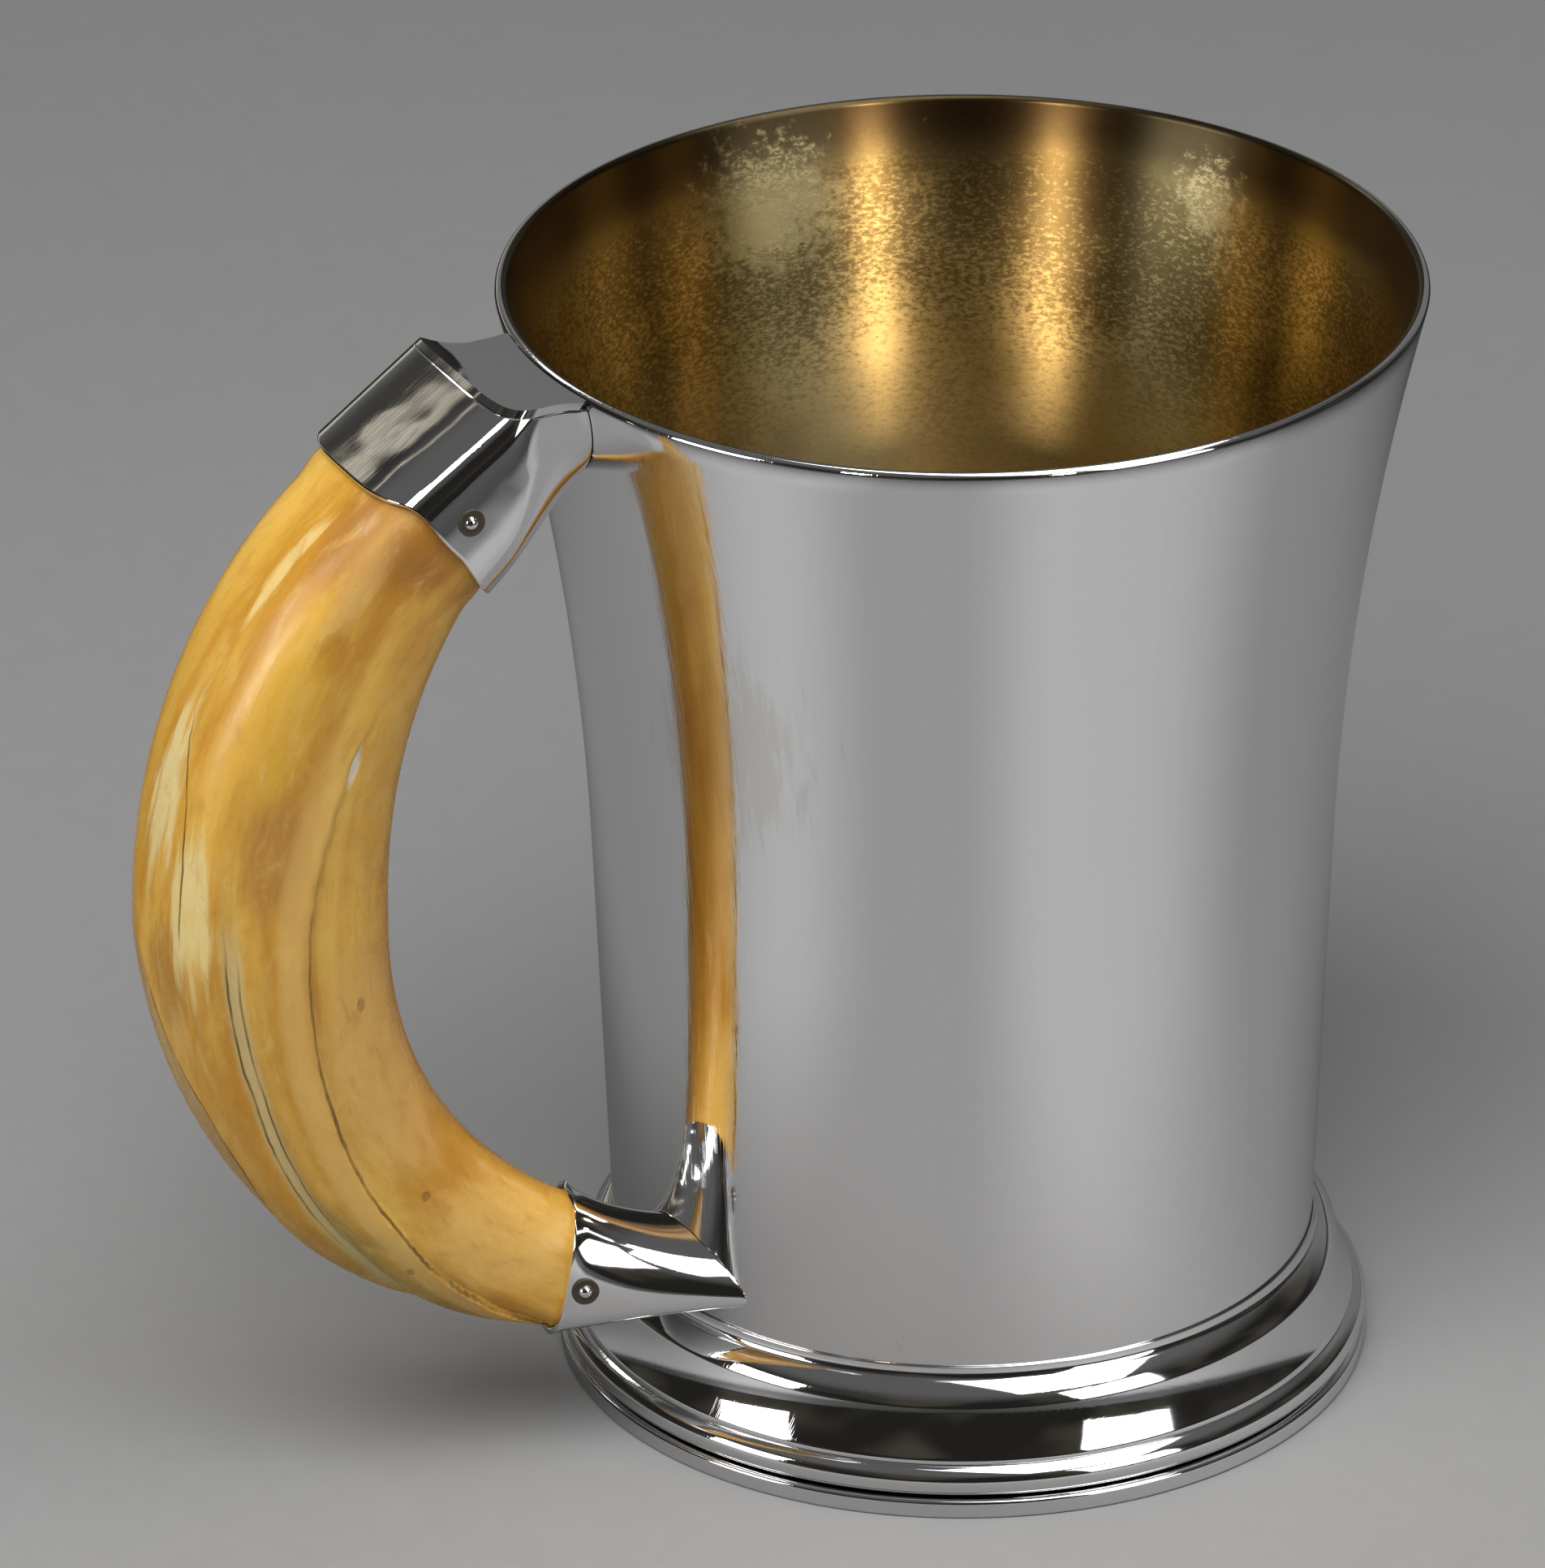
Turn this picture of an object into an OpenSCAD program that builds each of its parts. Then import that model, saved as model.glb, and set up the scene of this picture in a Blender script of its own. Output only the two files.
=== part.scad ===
// Silver mug with a flared barrel, a hollow moulded foot and a tusk handle held in two sheet-silver sockets.
// Millimetres, +Z up. The origin is on the mug's axis, on the table. The handle is on the -X side.

/* [Barrel] */
// Outside diameter of the rim
rim_d = 90; // [84:0.5:98]
// Height of the rim above the table
mug_h = 114.2; // [110:0.2:124]
// Outside diameter of the barrel where it rises out of the foot
waist_d = 69.6; // [66:0.2:72]
// Widening of the barrel's diameter up to the height where its flare starts
flare_more = 3.2; // [1:0.2:6]
// Height at which the flare starts
flare_z = 55; // [40:1:70]
// Thickness of the barrel's sheet
wall = 1.2; // [0.8:0.1:1.8]
// Thickness of the floor
floor_t = 1.4; // [0.8:0.1:2.2]

/* [Foot] */
// Height of the joint between foot and barrel
foot_h = 14; // [13:0.2:16]
// Height of the band that the mug stands on
band_h = 1.9; // [1.2:0.1:2.6]
// Width of the band, from outside to inside
band_w = 2.8; // [1.6:0.1:3.6]
// Height of the half-round moulding above the band
round_h = 3.3; // [2.4:0.1:4]
// Distance by which the half-round stands out from the cove's neck
cove_out = 3.1; // [1.5:0.1:5]
// Width of the ledge above the cove
ledge_w = 1.5; // [0.8:0.1:3]
// Depth of the ledge's outer edge below the joint
ledge_drop = 3.1; // [2.4:0.1:4]
// Distance by which the fillet's foot stands out from the barrel
fillet_out = 0.8; // [0.5:0.1:1.5]
// Height of the fillet below the joint
fillet_h = 1.35; // [0.8:0.05:1.6]
// Length of the collar inside the foot that clasps the barrel
collar_h = 3.2; // [2.4:0.1:4]
// Thickness of the foot's sheet
foot_sheet = 0.8; // [0.5:0.1:1.1]

/* [Upper socket] */
// Distance of the sleeve's mouth from the rim
upper_out = 14.4; // [12.6:0.2:18]
// Depth of the sleeve's mouth below the rim
upper_below = 13.2; // [11:0.2:16]
// Slope of the sleeve against the table, in degrees
upper_slope = 43; // [38:1:48]
// Angle by which the sleeve's inner side draws in above the mouth, in degrees
upper_taper = 3; // [0:0.5:5]
// Angle by which the sleeve's outer side draws in above the mouth, in degrees
upper_taper_out = 9; // [0:0.5:10]
// Outside width of the sleeve across the handle
upper_w = 22.6; // [18:0.2:25]
// Outside thickness of the sleeve in the plane of the handle
upper_t = 18.4; // [15:0.2:21]
// Length of tusk inside the sleeve
upper_tenon = 9; // [6:0.2:10]
// Width of the neck where it meets the barrel
neck_w = 17.4; // [14:0.2:17.8]
// Length over which the sleeve narrows to its neck
neck_len = 8.2; // [6:0.2:10]
// Depth of the plate's edge below the rim, at the barrel
plate_drop = 0.2; // [0.2:0.1:3]
// Height by which the plate lifts from the barrel to its outer edge
plate_lift = 1.7; // [0:0.1:2.4]

/* [Lower socket] */
// Distance of the sleeve's mouth from the barrel
lower_out = 12.4; // [11.2:0.2:15]
// Sideways offset of the sleeve's mouth from the plane of the handle
lower_swing = 3.5; // [0:0.1:6]
// Turn of the sleeve about the vertical, in degrees
lower_turn = 13; // [0:1:18]
// Height of the sleeve's widest line above the foot's joint, at its mouth
lower_above = 3.5; // [2.6:0.1:6]
// Outside width of the sleeve at its mouth
lower_w = 12.6; // [11:0.2:15]
// Height of the sleeve's top above its widest line, at its mouth
lower_up = 10.6; // [9:0.2:13]
// Depth of the sleeve's bottom below its widest line, at its mouth
lower_down = 4.2; // [3.6:0.2:5]
// Height of the tail's top above the foot's joint
tail_top = 8.4; // [7:0.2:11]
// Height of the tail's bottom above the foot's joint
tail_bottom = 3; // [2:0.2:4]
// Outside width of the tail at its corners
tail_w = 20; // [16:0.2:24]
// Length of tusk inside the sleeve
lower_tenon = 5; // [3:0.2:6]

/* [Sockets and pins] */
// Thickness of the sockets' sheet
socket_sheet = 0.8; // [0.5:0.1:1.1]
// Diameter of the cross pins
pin_d = 1.6; // [1.2:0.1:2]
// Diameter of the pins' domed heads
pin_head_d = 2.8; // [2.4:0.1:3.4]
// Height of the pins' domed heads
pin_head_h = 0.9; // [0.5:0.1:1.2]
// Distance of the upper pin from the mouth of its sleeve
upper_pin_in = 4.2; // [3:0.1:5.6]
// Offset of the upper pin from the sleeve's middle, towards its outer side
upper_pin_off = 1.8; // [0:0.1:3]
// Distance of the lower pin from the mouth of its sleeve
lower_pin_in = 2.4; // [2:0.1:3]
// Height of the lower pin above the sleeve's widest line
lower_pin_up = 2; // [0:0.1:3]

/* [Tusk] */
// Distance of the tusk's back, at the middle of its depth, from the rim
tusk_out = 29.6; // [25:0.2:36]
// Height of the tusk's back
tusk_back_z = 62; // [55:0.5:68]
// Depth of the tusk at its back, in the plane of the handle
tusk_depth = 25.2; // [20:0.2:28]
// Width of the tusk at its back, across the handle
tusk_w = 21; // [17:0.2:24]
// Sideways bow of the tusk's back, away from the swing of its lower end
tusk_bow = 1.5; // [0:0.1:4]
// Slope of the tusk against the table where it enters the lower sleeve, in degrees
tusk_dip = 20; // [0:1:30]

/* [Fits] */
// Solder gap between silver pieces
solder_gap = 0.05; // [0.02:0.01:0.1]
// Gap between the tusk and its sleeves
tusk_gap = 0.15; // [0.05:0.01:0.25]
// Gap round the pins
pin_gap = 0.05; // [0.02:0.01:0.1]

/* [Hidden] */
$fn = 96;

silver = [0.80, 0.80, 0.79];
honey = [0.80, 0.60, 0.26];
pitch = [0.35, 0.25, 0.18];

// Extra length that lets a cut pass clear through what it cuts
over = 1;
// Half of a cutting block that is larger than the mug
far = 150;

rim_r = rim_d / 2;
waist_r = waist_d / 2;
fillet_r = waist_r + fillet_out;
cove_r = fillet_r + ledge_w;
foot_r = cove_r + cove_out;
ledge_z = foot_h - ledge_drop;
upper_reach = rim_r + upper_out;
upper_z = mug_h - upper_below;
lower_reach = waist_r + lower_out;
lower_z = foot_h + lower_above;
tail_top_z = foot_h + tail_top;
tail_bottom_z = foot_h + tail_bottom;
tusk_reach = rim_r + tusk_out;
lip_r = wall / 2;
lip_z = mug_h - lip_r;
barrel_z = foot_h - collar_h;
profile_steps = 14;
arc_steps = 10;
bend_steps = 8;

// Outside radius of the barrel at a height: a cone with a flare added above flare_z
function cone_r(z) = waist_r + flare_more / 2 * (z - foot_h) / (flare_z - foot_h);
function barrel_r(z) = cone_r(z) + (rim_r - cone_r(lip_z)) * pow(max(0, z - flare_z) / (lip_z - flare_z), 2);
flare_heights = [for (i = [0:profile_steps]) flare_z + (lip_z - flare_z) * i / profile_steps];
barrel_heights = concat([barrel_z], flare_heights);

// Arc in the profile plane
function arc(centre, r, from, to, steps) = [
    for (i = [0:steps])
        let (a = from + (to - from) * i / steps)
            [centre.x + r * cos(a), centre.y + r * sin(a)]
];

// Curve with one control point
function bend(p, control, q, steps) = [
    for (i = [0:steps])
        let (t = i / steps)
            (1 - t) * (1 - t) * p + 2 * t * (1 - t) * control + t * t * q
];

// Squarish oval: inner and outer half depth, half width, inner and outer squareness (2 is an ellipse)
section_steps = 40;
function signed_pow(v, e) = sign(v) * pow(abs(v), e);
function oval(depth_in, depth_out, half_w, square_in, square_out) = [
    for (i = [0:section_steps - 1])
        let (a = 360 * i / section_steps, inner = cos(a) > 0, e = 2 / (inner ? square_in : square_out))
            [(inner ? depth_in : depth_out) * signed_pow(cos(a), e), half_w * signed_pow(sin(a), e)]
];

// Solid skinned over a list of rings that have the same number of points
module skin(rings) {
    n = len(rings[0]);
    last = (len(rings) - 1) * n;
    sides = [
        for (k = [0:len(rings) - 2], i = [0:n - 1])
            let (a = k * n + i, b = k * n + (i + 1) % n)
                each [[a, b, b + n], [a, b + n, a + n]]
    ];
    start_cap = [for (i = [1:n - 2]) [0, i + 1, i]];
    end_cap = [for (i = [1:n - 2]) [last, last + i, last + i + 1]];
    polyhedron([for (ring = rings) each ring], concat(sides, start_cap, end_cap));
}

// The barrel filled solid and grown by a gap: what is soldered to the barrel is cut with it
module barrel_envelope(gap) {
    outline = [for (z = barrel_heights) [barrel_r(z) + gap, z]];
    rotate_extrude()
        polygon(concat([[0, barrel_z]], outline, [[rim_r + gap, mug_h + far], [0, mug_h + far]]));
}

module mug_body() {
    outside = [for (z = barrel_heights) [barrel_r(z), z]];
    inside = [for (p = outside) [p.x - wall, p.y]];
    lip = arc([barrel_r(lip_z) - lip_r, lip_z], lip_r, 0, 180, arc_steps);
    inside_down = [for (i = [len(inside) - 2:-1:0]) inside[i]];
    color(silver)
        rotate_extrude()
            polygon(concat([for (i = [0:len(outside) - 2]) outside[i]], lip, inside_down));
}

// Height of the floor's underside above the barrel's lower edge
floor_inset = 0.4;
floor_z = barrel_z + floor_inset;

module base_disc() {
    color(silver)
        translate([0, 0, floor_z])
            cylinder(
                h = floor_t,
                r1 = barrel_r(floor_z) - wall - solder_gap,
                r2 = barrel_r(floor_z + floor_t) - wall - solder_gap
            );
}

// Step between the half-round and the cove
step_h = 0.4;
step_w = 0.35;
// Point that the cove bends towards: height above the cove's foot, and distance out from the cove's neck
cove_turn = 2.35;
cove_lean = 0.65;
skirt_z = band_h + solder_gap;
round_r = round_h / 2;
round_centre = [foot_r - round_r, skirt_z + round_r];
cove_foot = [round_centre.x + step_w, skirt_z + round_h + step_h];
cove_top = [cove_r, ledge_z];

module foot_skirt() {
    cove_control = [cove_r + cove_lean, cove_foot.y + cove_turn];
    collar_in = barrel_r(foot_h) + solder_gap;
    collar_out = barrel_r(barrel_z) + solder_gap + foot_sheet;
    inward = [-foot_sheet, -foot_sheet / 4];
    outside = concat(
        arc(round_centre, round_r, -90, 90, arc_steps),
        [[cove_foot.x, cove_foot.y - step_h]],
        bend(cove_foot, cove_control, cove_top, bend_steps),
        [[fillet_r, foot_h - fillet_h], [collar_in + foot_sheet / 4, foot_h], [collar_in, foot_h]]
    );
    inside = concat(
        [[collar_out - foot_sheet, barrel_z], [collar_out, barrel_z], [collar_out, ledge_z + foot_sheet / 4]],
        bend(cove_top + inward, cove_control + inward, cove_foot + inward, bend_steps),
        arc(round_centre, round_r - foot_sheet, 90, -90, arc_steps),
        [[round_centre.x - foot_sheet, skirt_z + foot_sheet], [round_centre.x - foot_sheet, skirt_z]]
    );
    color(silver)
        rotate_extrude()
            polygon(concat(outside, inside));
}

module foot_wire() {
    bevel = band_h / 6;
    inner_r = foot_r - band_w;
    color(silver)
        rotate_extrude()
            polygon([
                [inner_r, 0],
                [foot_r - bevel, 0],
                [foot_r, bevel],
                [foot_r, band_h - bevel],
                [foot_r - bevel, band_h],
                [inner_r, band_h]
            ]);
}

// Upper sleeve: its axis runs up from the mouth to the barrel, and its inner side faces down to the fingers
upper_square_in = 2.4;
upper_square_out = 4.2;
upper_steps = 24;
upper_mouth = [-upper_reach, 0, upper_z];
upper_axis = [cos(upper_slope), 0, sin(upper_slope)];
upper_inward = [sin(upper_slope), 0, -cos(upper_slope)];
// Length that takes the whole sleeve into the barrel
upper_len = (upper_out + upper_t / 2) / cos(upper_slope);

// Length over which the plate lifts, and how late it does: 1 is an even rise
plate_len = 8.9;
plate_power = 3;

// Height of the plate's upper face at a distance along X
function plate_z(x) = mug_h - plate_drop + plate_lift * pow(max(0, -(x + rim_r) / plate_len), plate_power);

// Half width of the sleeve at a distance along X: it narrows to its neck towards the barrel
function upper_half_w(x) =
    let (near = min(1, max(0, (x + rim_r + neck_len) / neck_len)))
    upper_w / 2 - (upper_w - neck_w) / 2 * near * near;

// Ring of the sleeve at a distance above its mouth, grown outward
function upper_ring(d, grow) =
    let (
        half_in = upper_t / 2 - d * tan(upper_taper) + grow,
        half_out = upper_t / 2 - d * tan(upper_taper_out) + grow
    )
    [
        for (p = oval(half_in, half_out, 1, upper_square_in, upper_square_out))
            let (at = upper_mouth + d * upper_axis + p.x * upper_inward)
                at + [0, p.y * (upper_half_w(at.x) + grow), 0]
    ];

// Everything above the top plate's upper face, or above a face that lies lower by a depth
module above_plate(depth) {
    face = [
        for (i = [-1:bend_steps + 1])
            let (x = -rim_r - plate_len * i / bend_steps)
                [x, plate_z(x) - depth]
    ];
    inner_end = [far, mug_h - plate_drop - depth];
    rotate([90, 0, 0])
        linear_extrude(2 * far, center = true)
            polygon(concat([inner_end], face, [[-far, mug_h + far], [far, mug_h + far]]));
}

// Sleeve as one solid, from a distance above the mouth, grown outward and cut down below the plate
module upper_form(from, grow, depth) {
    difference() {
        skin([for (i = [upper_steps:-1:0]) upper_ring(from + (upper_len - from) * i / upper_steps, grow)]);
        above_plate(depth);
    }
}

upper_pin_at = upper_mouth + upper_pin_in * upper_axis - upper_pin_off * upper_inward;

module upper_socket() {
    color(silver)
        difference() {
            upper_form(0, 0, socket_sheet + solder_gap);
            upper_form(-over, -socket_sheet, -over);
            barrel_envelope(solder_gap);
            translate(upper_pin_at)
                pin_bore(upper_w);
        }
}

module upper_socket_plate() {
    color(silver)
        difference() {
            intersection() {
                upper_form(0, 0, 0);
                above_plate(socket_sheet);
            }
            barrel_envelope(solder_gap);
        }
}

module upper_cement() {
    color(pitch)
        difference() {
            upper_form(upper_tenon + tusk_gap, -snug, socket_sheet + 2 * solder_gap);
            barrel_envelope(2 * solder_gap);
        }
}

// Lower sleeve: its own X runs from the mouth into the barrel,
// and its section grows more pointed above, and squarer below, towards its tail
lower_square = 2.4;
tail_square_up = 1.6;
tail_square_down = 4.5;
lower_steps = 10;
lower_mouth = [-lower_reach, -lower_swing, lower_z];
lower_axis = [cos(lower_turn), -sin(lower_turn), 0];
// Lean of the mouth: how far its top stands nearer to the barrel, per mm of height
lower_tilt = 0.22;
// How far the tail's corners sweep round the barrel, past its nearest point
tail_sweep = 12.4;
lower_len = lower_out + tail_sweep;
// Depth of the tail's bottom below its widest line, and the least depth of its hollow
tail_down = 0.4;
least_down = 0.2;
// Share of the sleeve's length by which its hollow runs past each end
past = 0.1;

module along_lower() {
    translate(lower_mouth)
        rotate([0, 0, -lower_turn])
            children();
}

// Sizes of the sleeve at a share of its length: height above and depth below its widest line, half width,
// and the height of that line
function lower_sizes(f) =
    let (
        top = lower_up + (tail_top_z - lower_z - lower_up) * (1 - pow(1 - f, 3)),
        bottom = -lower_down + (tail_bottom_z - lower_z + lower_down) * f,
        widest = (tail_bottom_z - lower_z + tail_down) * f
    )
    [top - widest, widest - bottom, lower_w / 2 + (tail_w - lower_w) / 2 * pow(f, 2), widest];

// Ring of the sleeve at a share of its length, grown outward
function lower_ring(f, grow) =
    let (
        s = lower_sizes(f),
        square_up = lower_square + (tail_square_up - lower_square) * f,
        square_down = lower_square + (tail_square_down - lower_square) * f
    )
    [
        for (p = oval(s[0] + grow, max(s[1] + grow, least_down), s[2] + grow, square_up, square_down))
            [f * lower_len + lower_tilt * (1 - f) * (p.x + s[3]), p.y, p.x + s[3]]
    ];

// Sleeve between two shares of its length as one solid
module lower_form(from, to, grow) {
    along_lower()
        skin([for (i = [0:lower_steps]) lower_ring(from + (to - from) * i / lower_steps, grow)]);
}

lower_pin_at = lower_mouth + lower_pin_in * lower_axis + [0, 0, lower_pin_up];

module lower_socket() {
    color(silver)
        difference() {
            lower_form(0, 1, 0);
            lower_form(-past, 1 + past, -socket_sheet);
            barrel_envelope(solder_gap);
            translate(lower_pin_at)
                rotate([0, 0, -lower_turn])
                    pin_bore(lower_w);
        }
}

module lower_cement() {
    color(pitch)
        difference() {
            lower_form((lower_tenon + tusk_gap) / lower_len, 1, -snug);
            barrel_envelope(2 * solder_gap);
        }
}

// Cross pin along Y through a sleeve of a given width, with a domed head at each end
module cross_pin(width) {
    rotate([90, 0, 0])
        cylinder(h = width + 2 * solder_gap, d = pin_d, center = true);
    dome_r = (pow(pin_head_d / 2, 2) + pow(pin_head_h, 2)) / (2 * pin_head_h);
    for (side = [-1, 1])
        translate([0, side * (width / 2 + solder_gap), 0])
            rotate([-side * 90, 0, 0])
                intersection() {
                    translate([0, 0, pin_head_h - dome_r])
                        sphere(r = dome_r);
                    cylinder(h = pin_head_h, d = pin_head_d);
                }
}

module pin_bore(width) {
    rotate([90, 0, 0])
        cylinder(h = width + 4 * over, d = pin_d + 2 * pin_gap, center = true);
}

module upper_pin() {
    color(silver)
        translate(upper_pin_at)
            cross_pin(upper_w);
}

module lower_pin() {
    color(silver)
        translate(lower_pin_at)
            rotate([0, 0, -lower_turn])
                cross_pin(lower_w);
}

// Tusk: one curve from the upper mouth to its back, and one from its back to the lower mouth
tusk_back = [-tusk_reach, tusk_bow, tusk_back_z];
tusk_steps = 12;
tenon_steps = 4;
function curve_point(p, t) =
    pow(1 - t, 3) * p[0] + 3 * pow(1 - t, 2) * t * p[1] + 3 * (1 - t) * t * t * p[2] + t * t * t * p[3];
function curve_slope(p, t) =
    pow(1 - t, 2) * (p[1] - p[0]) + 2 * (1 - t) * t * (p[2] - p[1]) + t * t * (p[3] - p[2]);
drop = tusk_back_z - lower_z;
climb = upper_z - tusk_back_z;
lower_way = cos(tusk_dip) * lower_axis - [0, 0, sin(tusk_dip)];
// Pulls of the curves' ends, as shares of the height between them
upper_pull = 0.36;
back_pull_up = 0.4;
back_pull_down = 0.6;
lower_pull = 0.28;
upper_curve = [
    upper_mouth,
    upper_mouth - upper_pull * climb * upper_axis,
    tusk_back + [0, 0, back_pull_up * climb],
    tusk_back
];
lower_curve = [
    tusk_back,
    tusk_back - [0, 0, back_pull_down * drop],
    lower_mouth - lower_pull * drop * lower_way,
    lower_mouth
];

// How early the tusk swells below the upper sleeve: 1 is an even swell
swell_power = 2;
// How late the tusk tapers towards the lower sleeve: 1 is an even taper
taper_power = 1.15;

// Depths and width of the tusk where it leaves the sleeves, and at its back
upper_size = [upper_t / 2, upper_t / 2, upper_w / 2, upper_square_in, upper_square_out];
back_size = [tusk_depth / 2, tusk_depth / 2, tusk_w / 2, lower_square, lower_square];
lower_size = [lower_up, lower_down, lower_w / 2, lower_square, lower_square];
snug = socket_sheet + tusk_gap;
inset = [snug, snug, snug, 0, 0];

// Ring of the tusk square to its path, with its inner side towards the mug
function tusk_ring(at, along, size) =
    let (t = along / norm(along), in = cross(t, [0, 1, 0]), inner = in / norm(in), across = cross(inner, t))
    [for (p = oval(size[0], size[1], size[2], size[3], size[4])) at + p.x * inner + p.y * across];

function lower_tenon_ring(d) = [
    for (p = lower_ring(d / lower_len, -snug))
        lower_mouth + p.x * lower_axis + [sin(lower_turn), cos(lower_turn), 0] * p.y + [0, 0, p.z]
];

module tusk_handle() {
    swell = [
        for (i = [1:tusk_steps])
            let (t = i / tusk_steps, grown = 1 - pow(1 - t, swell_power))
                tusk_ring(
                    curve_point(upper_curve, t),
                    curve_slope(upper_curve, t),
                    (upper_size - inset) * (1 - grown) + back_size * grown
                )
    ];
    taper = [
        for (i = [1:tusk_steps - 1])
            let (t = i / tusk_steps, tapered = pow(t, taper_power))
                tusk_ring(
                    curve_point(lower_curve, t),
                    curve_slope(lower_curve, t),
                    back_size * (1 - tapered) + (lower_size - inset) * tapered
                )
    ];
    color(honey)
        difference() {
            skin(concat(
                [for (i = [tenon_steps:-1:0]) upper_ring(upper_tenon * i / tenon_steps, -snug)],
                swell,
                taper,
                [for (i = [0:tenon_steps]) lower_tenon_ring(lower_tenon * i / tenon_steps)]
            ));
            translate(upper_pin_at)
                pin_bore(upper_w);
            translate(lower_pin_at)
                rotate([0, 0, -lower_turn])
                    pin_bore(lower_w);
        }
}

mug_body();
base_disc();
foot_skirt();
foot_wire();
upper_socket();
upper_socket_plate();
lower_socket();
tusk_handle();
upper_pin();
lower_pin();
upper_cement();
lower_cement();
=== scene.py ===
"""Looks of the silver mug: turned silver, worn gilding inside and a grooved tusk handle in two sockets."""
import functools
import math

import bpy
from mathutils import Matrix, Vector


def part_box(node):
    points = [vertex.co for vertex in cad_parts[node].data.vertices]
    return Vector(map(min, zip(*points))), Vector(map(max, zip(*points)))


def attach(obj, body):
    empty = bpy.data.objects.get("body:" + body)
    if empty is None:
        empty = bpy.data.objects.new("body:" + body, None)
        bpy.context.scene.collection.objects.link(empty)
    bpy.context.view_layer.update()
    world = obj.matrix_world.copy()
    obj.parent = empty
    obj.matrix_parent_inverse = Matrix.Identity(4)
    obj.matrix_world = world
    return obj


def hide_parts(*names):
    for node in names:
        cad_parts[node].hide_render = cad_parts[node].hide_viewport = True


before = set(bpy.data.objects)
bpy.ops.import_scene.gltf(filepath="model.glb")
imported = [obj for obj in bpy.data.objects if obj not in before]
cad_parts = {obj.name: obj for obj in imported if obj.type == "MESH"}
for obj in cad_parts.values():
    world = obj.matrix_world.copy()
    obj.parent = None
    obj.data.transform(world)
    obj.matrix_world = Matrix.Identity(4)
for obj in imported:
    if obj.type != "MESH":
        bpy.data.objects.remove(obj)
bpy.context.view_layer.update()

# Millimetres are the unit of every size below; the meshes are in metres
MM = 0.001

# Sizes of the barrel and the foot
rim_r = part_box("mug_body")[1].x / MM
mug_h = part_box("mug_body")[1].z / MM
barrel_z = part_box("mug_body")[0].z / MM
floor_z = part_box("base_disc")[0].z / MM
floor_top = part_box("base_disc")[1].z / MM
band_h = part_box("foot_wire")[1].z / MM
foot_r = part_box("foot_wire")[1].x / MM
foot_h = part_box("foot_skirt")[1].z / MM
waist_r = 34.8
flare_r = 1.6
flare_z = 55
wall = 1.2
lip_r = wall / 2
lip_z = mug_h - lip_r
band_w = 2.8
foot_sheet = 0.8
solder_gap = 0.05
socket_sheet = 0.8
tusk_gap = 0.15
snug = socket_sheet + tusk_gap

# Steps round a turned piece, and along the round stretches of an outline
TURN_STEPS = 256
ARC_STEPS = 14
FLARE_STEPS = 26
# Vertices closer than this are one
WELD = 1e-6


# Outlines

def barrel_r(z):
    """Outside radius of the barrel at a height: a cone with a flare added."""
    def cone(at):
        return waist_r + flare_r * (at - foot_h) / (flare_z - foot_h)
    flared = max(0, z - flare_z) / (lip_z - flare_z)
    return cone(z) + (rim_r - cone(lip_z)) * flared ** 2


def arc(centre, radius, start, end, steps=ARC_STEPS):
    """Points of an arc between two angles, in degrees."""
    turns = [math.radians(start + (end - start) * i / steps) for i in range(steps + 1)]
    return [(centre[0] + radius * math.cos(a), centre[1] + radius * math.sin(a)) for a in turns]


def bend(start, control, end, steps=ARC_STEPS):
    """Points of a curve with one control point."""
    shares = [i / steps for i in range(steps + 1)]
    return [
        tuple((1 - t) ** 2 * a + 2 * t * (1 - t) * c + t * t * b for a, c, b in zip(start, control, end))
        for t in shares
    ]


def signed_power(value, power):
    return math.copysign(abs(value) ** power, value)


def oval(angle, depth_in, depth_out, half_w, square_in, square_out):
    """Point of a squarish oval: inward and sideways, with the angle in degrees from the inner side."""
    cosine = math.cos(math.radians(angle))
    sine = math.sin(math.radians(angle))
    depth = depth_in if cosine > 0 else depth_out
    power = 2 / (square_in if cosine > 0 else square_out)
    return depth * signed_power(cosine, power), half_w * signed_power(sine, power)


def smooth_step(value, low, high):
    """0 below low, 1 above high and an even S between them."""
    share = min(1, max(0, (value - low) / (high - low)))
    return share * share * (3 - 2 * share)


def mix(a, b, share):
    return a + (b - a) * share


# Modelling steps

def start_mesh():
    """Nothing selected, so that the next operator works on its own piece alone."""
    bpy.ops.object.select_all(action="DESELECT")


def draw(points):
    """One vertex put on the first point and extruded along the others."""
    places = [Vector(p) * MM for p in points]
    start_mesh()
    bpy.ops.mesh.primitive_plane_add(size=MM)
    bpy.ops.object.mode_set(mode="EDIT")
    bpy.ops.mesh.merge(type="CENTER")
    bpy.ops.transform.translate(value=places[0])
    for before, after in zip(places, places[1:]):
        bpy.ops.mesh.extrude_vertices_move(TRANSFORM_OT_translate={"value": after - before})
    bpy.ops.mesh.select_all(action="SELECT")


def weld():
    """Doubles merged and faces turned outwards, in edit mode."""
    bpy.ops.mesh.select_all(action="SELECT")
    bpy.ops.mesh.remove_doubles(threshold=WELD)
    bpy.ops.mesh.normals_make_consistent(inside=False)


def smooth(angle=35):
    """Back to object mode, shaded smooth except across edges sharper than the angle."""
    bpy.ops.object.mode_set(mode="OBJECT")
    bpy.ops.object.shade_smooth_by_angle(angle=math.radians(angle))
    return bpy.context.object


def apply_modifier(piece, kind, **settings):
    bpy.context.view_layer.objects.active = piece
    bpy.ops.object.modifier_add(type=kind)
    made = piece.modifiers[-1]
    for name, value in settings.items():
        setattr(made, name, value)
    bpy.ops.object.modifier_apply(modifier=made.name)


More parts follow.
